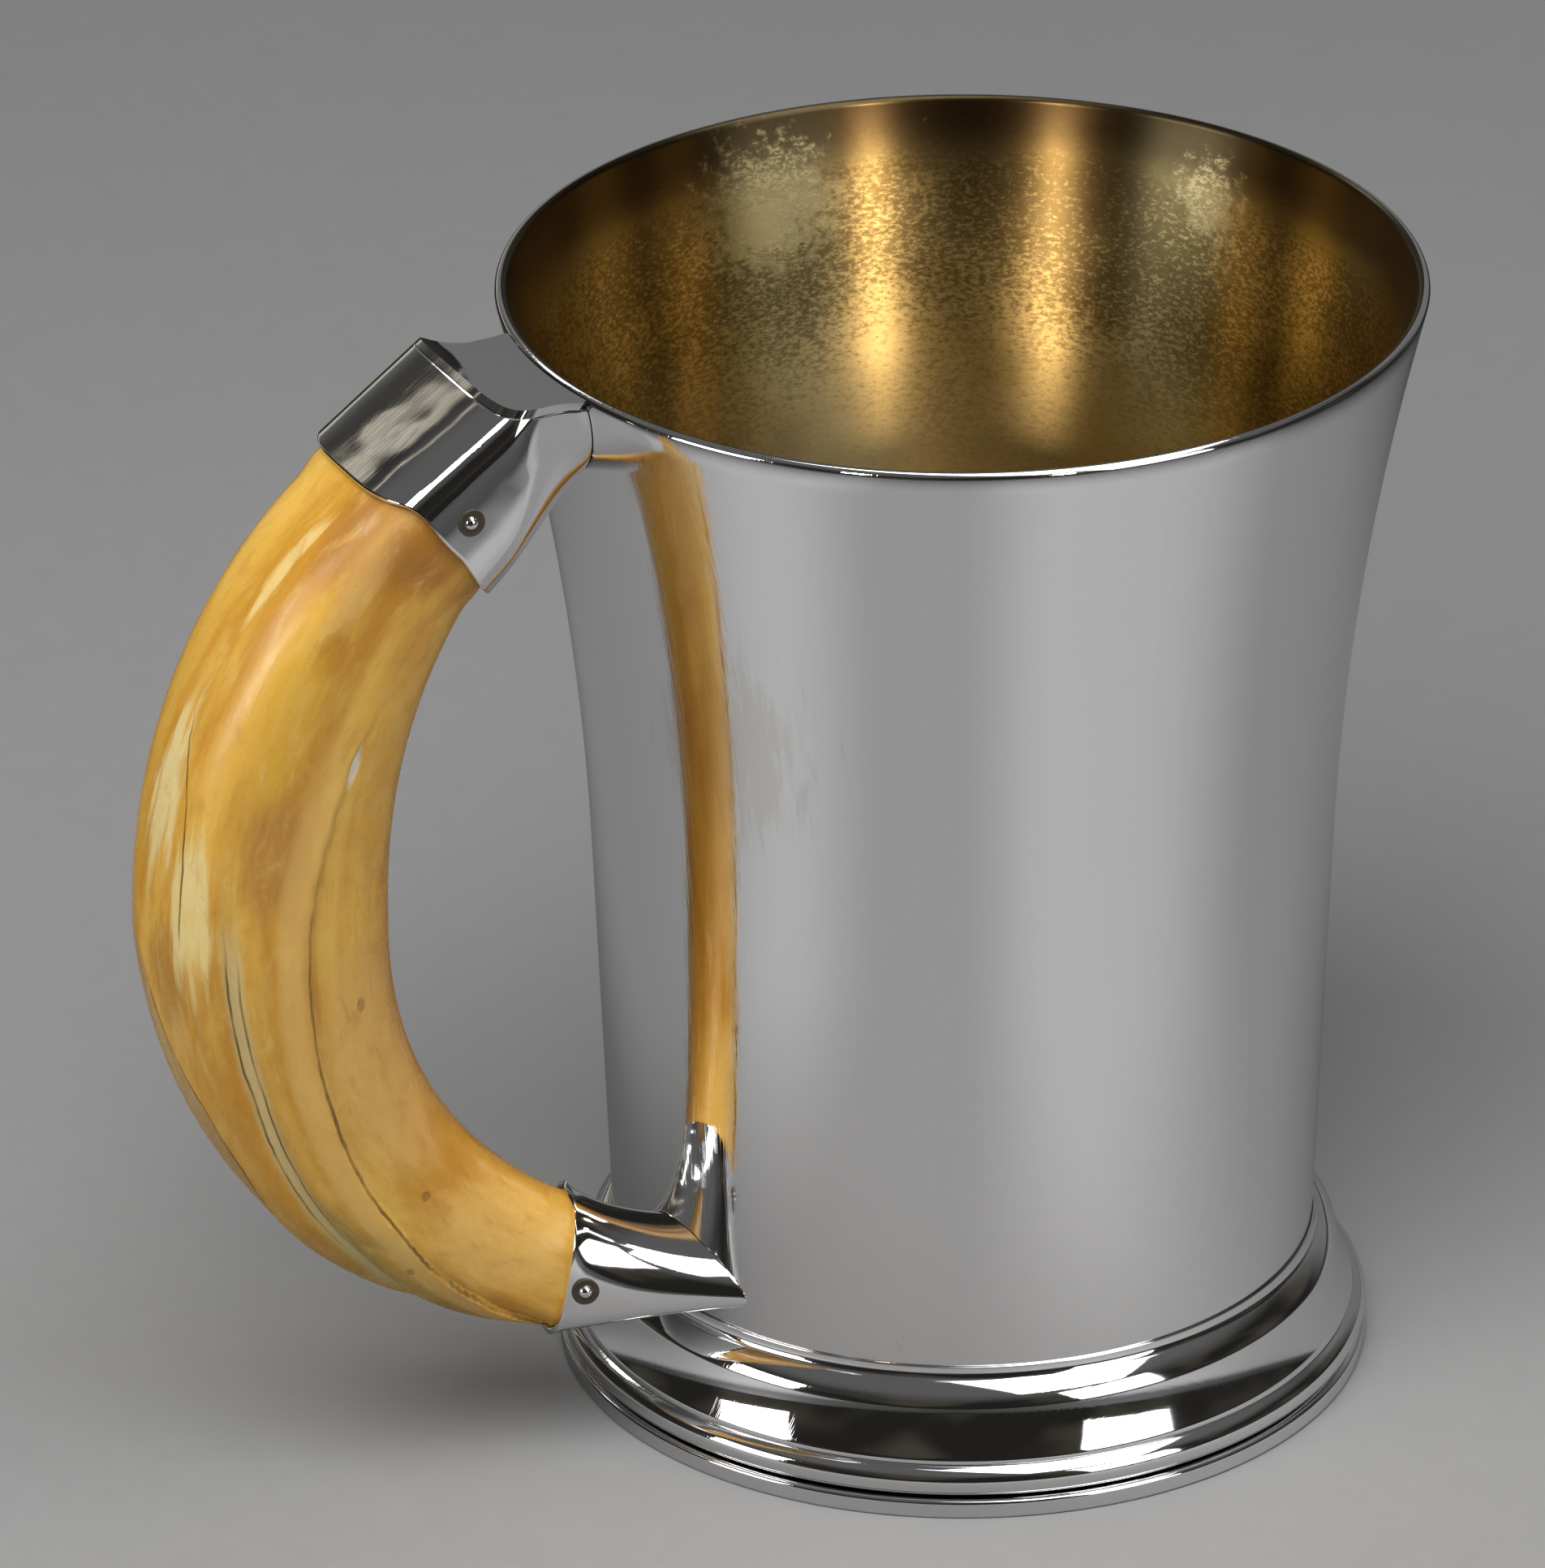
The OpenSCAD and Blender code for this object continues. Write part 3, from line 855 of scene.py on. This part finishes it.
def make_silver(name, polish, tarnish_share, scratch_density, scratch_depth, wave_depth, smudge=None):
    """Silver with polish between two roughnesses, light tarnish, fine scratches and perhaps a smudge."""
    finish, tree, shader = new_finish(name)
    place = object_place(tree)
    dull = use_group(tree, tarnish, {"Vector": place, "Scale": 60.0, "Share": tarnish_share})
    if smudge:
        in_mm = stretch(tree, place, (1 / MM, 1 / MM, 1 / MM))
        values = {"Vector": in_mm, "Centre": smudge, "Reach": smudge_reach, "Ragged": 2.6}
        smear = use_group(tree, patch, values)
        dull = sums(tree, "MAXIMUM", dull, sums(tree, "MULTIPLY", smear, 0.2))
    clouds = noise(tree, place, 38, 5, 0.6)
    rough = remap(tree, clouds, 0.35, 0.7, *polish)
    rough = sums(tree, "ADD", rough, sums(tree, "MULTIPLY", dull, 0.12))
    lines = use_group(tree, scratches, {"Vector": place, "Density": scratch_density})
    waves = bump(tree, noise(tree, place, 140, 1), wave_depth * MM)
    feed(tree, shader.inputs["Base Color"], mix_colours(tree, dull, silver_tone, tarnish_tone))
    feed(tree, shader.inputs["Roughness"], rough)
    scratched = bump(tree, sums(tree, "SUBTRACT", 1.0, lines), scratch_depth * MM, Normal=waves)
    feed(tree, shader.inputs["Normal"], scratched)
    shader.inputs["Metallic"].default_value = 1
    return finish


# Heights in metres between which the gilding changes
stain_span = (0.07, 0.114)
edge_span = (0.107, 0.1155)
belt_span = (0.095, 0.07)
bottom_span = (0.064, 0.045)
spot_span = (0.085, 0.1)
# Rubbed places of the gilding, in millimetres: centre and half size
rubbed_places = (((-0.5, 42, 105.5), (9, 6, 8)), ((38, 20, 107), (4, 5, 5)))


def make_gilding():
    """Worn gilding: speckled brown gold, dark below the rim, pale in a belt, with rubbed places and spots."""
    finish, tree, shader = new_finish("worn_gilding")
    place = object_place(tree)
    height = add(tree, "ShaderNodeSeparateXYZ", {"Vector": place}).outputs["Z"]
    clouds = noise(tree, place, 48, 6, 0.62)
    gold = mix_colours(tree, remap(tree, clouds, 0.32, 0.7, 0, 1), tone(158, 142, 94), tone(200, 182, 128))
    rings = noise(tree, stretch(tree, place, (30, 30, 1600)), 1, 3)
    gold = mix_colours(tree, remap(tree, rings, 0.5, 0.75, 0, 0.3), gold, tone(130, 104, 62))
    speckle = noise(tree, stretch(tree, place, (1, 1, 2)), 1400, 3, 0.75)
    gold = mix_colours(tree, remap(tree, speckle, 0.5, 0.36, 0, 0.35), gold, tone(206, 192, 144))
    stain = sums(tree, "ADD", sums(tree, "MULTIPLY", noise(tree, place, 60, 3, 0.5), 0.5), speckle)
    near_rim = remap(tree, height, *stain_span, 0, 0.12)
    dark = remap(tree, sums(tree, "ADD", stain, near_rim), 0.7, 0.94, 0, 0.65)
    ragged = sums(tree, "ADD", height, sums(tree, "MULTIPLY", clouds, 0.008))
    edge = remap(tree, ragged, *edge_span, 0, 0.92)
    gold = mix_colours(tree, sums(tree, "MAXIMUM", dark, edge), gold, tone(66, 55, 40))
    gold = mix_colours(tree, remap(tree, height, *belt_span, 0, 0.85), gold, tone(246, 226, 172))
    bottom = mix_colours(tree, remap(tree, stain, 0.62, 0.9, 0, 1), tone(178, 150, 92), tone(104, 82, 46))
    gold = mix_colours(tree, remap(tree, height, *bottom_span, 0, 0.9), gold, bottom)
    spots = remap(tree, noise(tree, place, 150, 4, 0.75), 0.7, 0.84, 0, 0.7)
    spots = sums(tree, "MULTIPLY", spots, remap(tree, height, *spot_span, 0.2, 1))
    gold = mix_colours(tree, spots, gold, tone(225, 218, 205))
    # A patch is ragged lengthwise, so heights are drawn out to make it ragged all round
    drawn_out = 8

    def drawn(x, y, z):
        return x, y, z * drawn_out

    in_mm = stretch(tree, place, drawn(1 / MM, 1 / MM, 1 / MM))
    for centre, half_size in rubbed_places:
        values = {"Vector": in_mm, "Centre": drawn(*centre), "Reach": drawn(*half_size), "Ragged": 2.2}
        mask = use_group(tree, patch, values)
        mask = sums(tree, "MULTIPLY", mask, remap(tree, speckle, 0.42, 0.58, 0.05, 0.5))
        gold = mix_colours(tree, mask, gold, tone(222, 206, 156))
    feed(tree, shader.inputs["Base Color"], gold)
    feed(tree, shader.inputs["Roughness"], remap(tree, clouds, 0.3, 0.7, 0.28, 0.36))
    relief = sums(tree, "ADD", rings, sums(tree, "MULTIPLY", speckle, 0.25))
    feed(tree, shader.inputs["Normal"], bump(tree, relief, 0.004 * MM))
    shader.inputs["Metallic"].default_value = 1
    shader.inputs["Anisotropic"].default_value = 0.85
    shader.inputs["Anisotropic Rotation"].default_value = 0.25
    return finish


# Patches on the tusk: station, angle, half width, half length, raggedness, colour and strength; most are its
# own colour, the ones marked below are painted light
tusk_patches_and_painted_light = (
    (0.04, -150, 5.5, 9, 0.5, tone(158, 108, 62), 0.6),
    (0.1, -118, 2.2, 9, 0.5, tone(206, 160, 96), 0.6),
    (0.02, -95, 5, 6, 0.5, tone(150, 92, 34), 0.6),
    (0.3, -107, 2, 3, 0.8, tone(172, 104, 24), 0.6),
    (0.45, -112, 3.5, 10, 0.7, tone(214, 164, 48), 0.6),
    (0.76, -104, 4, 8, 0.9, tone(172, 116, 52), 0.6),
    (1.02, -162, 3.4, 6, 0.8, tone(158, 104, 36), 0.6),
    (1.62, -128, 5, 16, 0.7, tone(140, 118, 52), 0.6),
    # Paler inner side: partly its own colour, partly painted light that lifts the side lying in shade
    (1.25, -60, 8, 18, 0.6, tone(218, 174, 98), 0.75),
    (1.75, -70, 7, 14, 0.6, tone(226, 182, 100), 0.75),
    # Painted highlight: a pale streak along the upper outer edge, where light catches it
    (0.2, -176, 1.4, 11, 1.4, tone(238, 212, 142), 0.7),
    (0.68, -178, 3, 10, 2.2, tone(226, 206, 146), 0.9),
    (0.9, -146, 3, 8, 2.2, tone(224, 204, 140), 0.9),
)
# Small pits: station, angle, half width and half length
tusk_pits = ((1.105, -65, 0.9, 0.8), (1.535, -75, 0.8, 0.7), (1.625, -113, 0.7, 0.6))


def make_tusk_finish():
    finish, tree, shader = new_finish("honey_tusk")

    def mark(name, output):
        return add(tree, "ShaderNodeAttribute", attribute_name=name).outputs[output]

    grain = mark("straight", "Vector")
    station = mark("station", "Fac")

    def patch_mask(at_station, angle, half_w, half_len, ragged):
        centre = straightened(at_station, angle)
        values = {"Vector": grain, "Centre": centre, "Reach": (half_w, half_w, half_len), "Ragged": ragged}
        return use_group(tree, patch, values)

    def line_mask(name, half_w, offset, starts, ends):
        """A thin wandering line beside a line of the tusk, between two spans of stations where it fades."""
        wander = sums(tree, "MULTIPLY", sums(tree, "SUBTRACT", noise(tree, grain, 0.3, 3), 0.5), 0.4)
        away = sums(tree, "ADD", sums(tree, "SUBTRACT", mark(name, "Fac"), offset), wander)
        line = remap(tree, sums(tree, "ABSOLUTE", away), half_w * 0.3, half_w, 1.0, 0.0)
        line = sums(tree, "MULTIPLY", line, remap(tree, station, *starts, 0.0, 1.0))
        return sums(tree, "MULTIPLY", line, remap(tree, station, *ends, 1.0, 0.0))

    streaks = noise(tree, stretch(tree, grain, (0.14, 0.14, 0.022)), 1, 4, 0.55, 0.6)
    streaked = remap(tree, streaks, 0.34, 0.66, 0, 1)
    colour = mix_colours(tree, streaked, tone(192, 136, 40), tone(220, 174, 76))
    pale = noise(tree, stretch(tree, grain, (0.3, 0.3, 0.03), (0, 0, 0.6)), 1, 4, 0.6, 0.4)
    colour = mix_colours(tree, remap(tree, pale, 0.55, 0.78, 0, 0.6), colour, tone(226, 190, 112))
    clouds = noise(tree, stretch(tree, grain, (0.1, 0.1, 0.05)), 1, 4, 0.6, 0.6)
    colour = mix_colours(tree, remap(tree, clouds, 0.52, 0.75, 0, 0.5), colour, tone(172, 114, 40))
    for at_station, angle, half_w, half_len, ragged, tint, strength in tusk_patches_and_painted_light:
        mask = patch_mask(at_station, angle, half_w, half_len, ragged)
        colour = mix_colours(tree, sums(tree, "MULTIPLY", mask, strength), colour, tint)
    mottle = noise(tree, stretch(tree, grain, (0.45, 0.45, 0.2)), 1, 6, 0.68, 0.5)
    colour = mix_colours(tree, remap(tree, mottle, 0.5, 0.72, 0, 0.42), colour, tone(174, 114, 32))
    colour = mix_colours(tree, remap(tree, mottle, 0.5, 0.3, 0, 0.5), colour, tone(222, 184, 104))
    specks = noise(tree, grain, 2.4, 4, 0.7)
    colour = mix_colours(tree, remap(tree, specks, 0.56, 0.8, 0, 0.35), colour, tone(140, 94, 34))
    hairs = noise(tree, stretch(tree, grain, (2.6, 2.6, 0.05)), 1, 3, 0.6)
    colour = mix_colours(tree, remap(tree, hairs, 0.58, 0.78, 0, 0.22), colour, tone(128, 84, 30))
    band = line_mask("outer_valley", 1.5, 0.0, (0.85, 1.05), (1.75, 1.95))
    colour = mix_colours(tree, sums(tree, "MULTIPLY", band, 0.7), colour, tone(210, 194, 140))
    # Painted highlight: a pale line along the raised edge beside the long fold, where light catches it
    painted_ridge_highlight = line_mask("long_fold", 1.6, 1.3, (0.3, 0.8), (1.9, 2.0))
    colour = mix_colours(tree, sums(tree, "MULTIPLY", painted_ridge_highlight, 0.5), colour, tone(228, 188, 112))
    cracks = line_mask("long_fold", 0.17, 0.0, (0.75, 1.15), (1.96, 2.0))
    for name, half_w, offset, starts, ends in (
        ("outer_valley", 0.17, -0.5, (0.95, 1.1), (1.85, 2.0)),
        ("outer_valley", 0.14, 0.7, (0.9, 1.0), (1.3, 1.6)),
        ("short_crack", 0.16, 0.0, (0.5, 0.62), (0.92, 0.98)),
        ("back_edge", 0.16, 0.0, (0.98, 1.1), (1.3, 1.42)),
    ):
        cracks = sums(tree, "MAXIMUM", cracks, line_mask(name, half_w, offset, starts, ends))
    broken = remap(tree, noise(tree, stretch(tree, grain, (0.5, 0.5, 0.2)), 1, 3), 0.3, 0.6, 0.35, 1.0)
    cracks = sums(tree, "MULTIPLY", cracks, broken)
    for at_station, angle, half_w, half_len in tusk_pits:
        pit = sums(tree, "MULTIPLY", patch_mask(at_station, angle, half_w, half_len, 2.4), 0.5)
        cracks = sums(tree, "MAXIMUM", cracks, pit)
    colour = mix_colours(tree, sums(tree, "MULTIPLY", cracks, 0.85), colour, tone(96, 70, 30))
    chip = patch_mask(0.53, -81, 0.75, 3.2, 1.2)
    colour = mix_colours(tree, chip, colour, tone(228, 214, 192))
    feed(tree, shader.inputs["Base Color"], colour)
    rough = remap(tree, mottle, 0.3, 0.7, 0.2, 0.34)
    feed(tree, shader.inputs["Roughness"], sums(tree, "ADD", rough, sums(tree, "MULTIPLY", chip, 0.3)))
    grained = sums(tree, "ADD", sums(tree, "MULTIPLY", hairs, 0.12), sums(tree, "MULTIPLY", mottle, 0.4))
    relief = sums(tree, "SUBTRACT", grained, sums(tree, "ADD", cracks, chip))
    feed(tree, shader.inputs["Normal"], bump(tree, relief, 0.12 * MM))
    shader.inputs["Subsurface Weight"].default_value = 0.12
    shader.inputs["Subsurface Radius"].default_value = (1, 0.5, 0.2)
    shader.inputs["Subsurface Scale"].default_value = 1.5 * MM
    return finish


def make_dirt():
    """Dark dirt in the sunk rings of the pins."""
    finish, tree, shader = new_finish("dark_dirt")
    grain = noise(tree, object_place(tree), 1500, 4, 0.6)
    feed(tree, shader.inputs["Base Color"], mix_colours(tree, grain, tone(34, 30, 24), tone(78, 68, 52)))
    feed(tree, shader.inputs["Roughness"], remap(tree, grain, 0.3, 0.7, 0.45, 0.7))
    return finish


def make_cement_finish():
    finish, tree, shader = new_finish("dark_cement")
    grit = noise(tree, object_place(tree), 700, 6, 0.7)
    feed(tree, shader.inputs["Base Color"], mix_colours(tree, grit, tone(60, 44, 32), tone(110, 88, 66)))
    feed(tree, shader.inputs["Roughness"], remap(tree, grit, 0.3, 0.7, 0.7, 0.95))
    feed(tree, shader.inputs["Normal"], bump(tree, grit, 0.1 * MM))
    return finish


def make_floor_finish():
    """Grey paper; in reflections only it has painted light and shade: brightest before the mug, a painted
    shadow as a dim strip down its middle, and it soon ends in dark.
    """
    finish, tree, shader = new_finish("grey_paper_painted_light")
    place = object_place(tree)
    fibre = noise(tree, place, 260, 5, 0.6)
    paper = mix_colours(tree, fibre, (0.29, 0.29, 0.29, 1), (0.33, 0.33, 0.33, 1))

    def distance(way):
        return vectors(tree, "DOT_PRODUCT", {0: place, 1: way})["Value"]

    # Painted light and shade for reflections only: a pool of light before the mug with painted shade right by
    # it, a painted shadow strip down the middle, and dark a little way off
    before = distance((-0.44, -0.9, 0))
    aside = sums(tree, "ABSOLUTE", sums(tree, "ADD", distance((0.9, -0.44, 0)), 0.026))
    light = remap(tree, before, 0, 0.09, 0.75, 1.2)
    light = sums(tree, "MULTIPLY", light, remap(tree, aside, 0.02, 0.08, 0.65, 1))
    far = vectors(tree, "LENGTH", {0: place})["Value"]
    light = sums(tree, "MULTIPLY", light, remap(tree, far, 0.15, 0.26, 1, 0.05))
    mirrored = vectors(tree, "SCALE", {0: paper, "Scale": light})[0]
    glossy = add(tree, "ShaderNodeLightPath").outputs["Is Glossy Ray"]
    feed(tree, shader.inputs["Base Color"], mix_colours(tree, glossy, paper, mirrored))
    feed(tree, shader.inputs["Roughness"], remap(tree, fibre, 0.3, 0.7, 0.75, 0.85))
    return finish


# Pieces

scratches = make_scratches()
tarnish = make_tarnish()
patch = make_patch()

bright = (0.03, 0.07)
worn = (0.05, 0.12)
silver_barrel = make_silver("silver_barrel", bright, 0.12, 55.0, 0.0025, 0.01, barrel_smudge)
silver_foot = make_silver("silver_foot", bright, 0.2, 70.0, 0.001, 0.01)
silver_socket = make_silver("silver_socket", bright, 0.12, 70.0, 0.001, 0.09)
silver_pin = make_silver("silver_pin", worn, 0.35, 90.0, 0.001, 0.01)
gilding = make_gilding()
dirt = make_dirt()


def cover(piece, finish, chosen):
    """A second finish on the chosen faces of a piece."""
    piece.data.materials.append(finish)
    for face in piece.data.polygons:
        if chosen(face):
            face.material_index = 1


barrel = hand_over(make_barrel(), "barrel", "mug_body", silver_barrel)
cover(barrel, gilding, lambda face: face.normal.xy.dot(face.center.xy) < 0)
floor_disc = hand_over(make_floor_disc(), "floor_disc", "base_disc", silver_barrel)
cover(floor_disc, gilding, lambda face: face.normal.z > 0.5)
hand_over(make_moulded_foot(), "moulded_foot", "foot_skirt", silver_foot)
hand_over(make_foot_band(), "foot_band", "foot_wire", silver_foot)
upper_sleeve = make_upper_sleeve()
hand_over(upper_sleeve, "upper_sleeve", "upper_socket", silver_socket)
hand_over(make_upper_plate(), "upper_top_plate", "upper_socket_plate", silver_socket)
hand_over(make_lower_sleeve(), "lower_sleeve", "lower_socket", silver_socket)
for name, node, at, axis, half_w in (
    ("upper_rivet", "upper_pin", upper_pin_at, Vector((0, 1, 0)), upper_half_w),
    ("lower_rivet", "lower_pin", lower_pin_at, lower_across, lower_half_w - dressed),
):
    rivet = hand_over(make_pin(at, axis, half_w), name, node, silver_pin)
    cover(rivet, dirt, lambda face: (face.center / MM - at).cross(axis).length > dome_r)
tusk = hand_over(make_tusk(), "tusk", "tusk_handle", make_tusk_finish())

cement = make_cement_finish()
for name in ("upper_cement", "lower_cement"):
    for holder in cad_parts[name].material_slots:
        holder.material = cement


# Floor, light and camera

def make_floor():
    start_mesh()
    bpy.ops.mesh.primitive_grid_add(x_subdivisions=24, y_subdivisions=24, size=6)
    floor = bpy.context.object
    floor.name = "paper_floor"
    floor.data.materials.append(make_floor_finish())


def make_light(name, place, aim, width, height, power, tint=(1, 1, 1), mirrored=True, lights=True, on=None):
    """A soft rectangular light that faces a point; it may be mirrored, light the rest, or be on one piece."""
    way = Vector(aim) - Vector(place)
    start_mesh()
    bpy.ops.object.light_add(type="AREA", location=place, rotation=way.to_track_quat("-Z", "Y").to_euler())
    lamp = bpy.context.object
    lamp.name = name
    lamp.visible_glossy = mirrored
    lamp.visible_diffuse = lights
    lamp.data.shape = "RECTANGLE"
    lamp.data.size = width
    lamp.data.size_y = height
    lamp.data.energy = power
    lamp.data.color = tint
    if on:
        lit = bpy.data.collections.new(name)
        lit.objects.link(on)
        lamp.light_linking.receiver_collection = lit


def make_room():
    """A dark room with a dim ceiling and a grey backdrop to mirror, and a plain ground for the camera."""
    world = bpy.data.worlds.new("studio")
    bpy.context.scene.world = world
    world.use_nodes = True
    tree = world.node_tree
    ground = tree.nodes["Background"]
    way = add(tree, "ShaderNodeTexCoord").outputs["Generated"]
    parts = add(tree, "ShaderNodeSeparateXYZ", {"Vector": way}).outputs
    clutter = noise(tree, way, 2.5, 1, 0.5)
    cluttered = remap(tree, clutter, 0.45, 0.7, 0, 1)
    room = mix_colours(tree, cluttered, (0.015, 0.014, 0.012, 1), (0.05, 0.045, 0.035, 1))
    room = mix_colours(tree, remap(tree, parts["Z"], 0.45, 0.8, 0, 1), room, (0.1, 0.1, 0.1, 1))

    soft = 0.008

    def strip(left, right):
        """An upright strip of the back wall between two places."""
        inside = remap(tree, parts["X"], left - soft, left, 0, 1)
        return sums(tree, "MULTIPLY", inside, remap(tree, parts["X"], right, right + soft, 1, 0))

    strips = sums(tree, "MAXIMUM", strip(-0.266, -0.25), strip(-0.345, -0.337))
    strips = sums(tree, "MULTIPLY", strips, remap(tree, parts["Y"], 0.45, 0.6, 0, 1))
    mottle = sums(tree, "MULTIPLY", strips, remap(tree, noise(tree, way, 16, 3), 0.4, 0.55, 0.2, 1))
    room = mix_colours(tree, mottle, room, (0.5, 0.46, 0.37, 1))
    low = remap(tree, parts["Z"], 0.01, 0.03, 0, 1)
    low = sums(tree, "MULTIPLY", low, remap(tree, parts["Z"], 0.1, 0.16, 1, 0))
    low = sums(tree, "MULTIPLY", low, remap(tree, parts["Y"], 0.93, 0.97, 0, 1))
    behind = remap(tree, parts["Y"], 0.1, 0.5, 0, 1)
    behind = sums(tree, "MULTIPLY", behind, remap(tree, parts["X"], -0.3, 0.1, 0, 1))
    backdrop = sums(tree, "MULTIPLY", behind, remap(tree, parts["Z"], 0.55, 0.66, 1, 0))
    room = mix_colours(tree, backdrop, room, (0.15, 0.15, 0.15, 1))
    room = mix_colours(tree, low, room, (0.5, 0.45, 0.34, 1))
    seen = add(tree, "ShaderNodeLightPath").outputs["Is Camera Ray"]
    feed(tree, ground.inputs["Color"], mix_colours(tree, seen, room, (0.2, 0.2, 0.2, 1)))


def make_camera():
    """The photograph's view: place, way and roll of a long lens that takes in 1904 by 1932 pixels."""
    place = Vector((-0.5318, -1.0437, 0.6389))
    way = Vector((0.3943, 0.8052, -0.4431)).normalized()
    roll = math.radians(-0.42)
    focal_px = 16433
    tall_px = 1932
    level = way.cross(Vector((0, 0, 1))).normalized()
    upward = level.cross(way)
    right = level * math.cos(roll) + upward * math.sin(roll)
    top = upward * math.cos(roll) - level * math.sin(roll)
    start_mesh()
    bpy.ops.object.camera_add(location=place, rotation=Matrix((right, top, -way)).transposed().to_euler())
    camera = bpy.context.object
    camera.data.sensor_width = 36
    camera.data.lens = camera.data.sensor_width * focal_px / tall_px
    bpy.context.scene.camera = camera


make_floor()
make_room()
warm = (1, 0.74, 0.48)
make_light("main_softbox", (-0.42, -0.35, 0.8), (0, 0, 0), 0.7, 0.7, 9.5, mirrored=False)
make_light("fill_softbox", (0.25, -0.5, 0.9), (0, 0, 0), 0.7, 0.7, 3, mirrored=False)
make_light("ceiling_panel", (0.25, -0.375, 1.2), (0.25, -0.375, 0), 0.8, 1.65, 10.6, lights=False)
make_light("back_strip", (-0.03, 1.2, 1), (0, 0, 0.1), 0.5, 0.12, 1, lights=False)
make_light("left_window", (-1.3, -0.06, 0.4), (0, 0, 0.05), 0.5, 0.6, 5, lights=False)
make_light("right_window", (0.51, -1.39, 0.62), (0, 0, 0.05), 0.75, 1, 4.5, lights=False)
make_light("left_spot", (-0.943, -0.739, 0.54), (0, 0, 0.1), 0.1, 0.16, 7, warm, lights=False, on=barrel)
make_light("front_spot", (-0.06, -1.2, 0.54), (0, 0, 0.1), 0.1, 0.16, 7, warm, lights=False, on=barrel)
ridge_at = (-0.64, -0.5, 0.88)
make_light("ridge_softbox", ridge_at, (-0.06, 0, 0.1), 0.3, 0.3, 2.5, lights=False, on=upper_sleeve)
make_light("tusk_softbox", (-1.05, 0.39, 0.71), (-0.08, 0, 0.09), 0.5, 0.5, 3, on=tusk)
make_camera()
bpy.context.scene.view_settings.view_transform = "Standard"
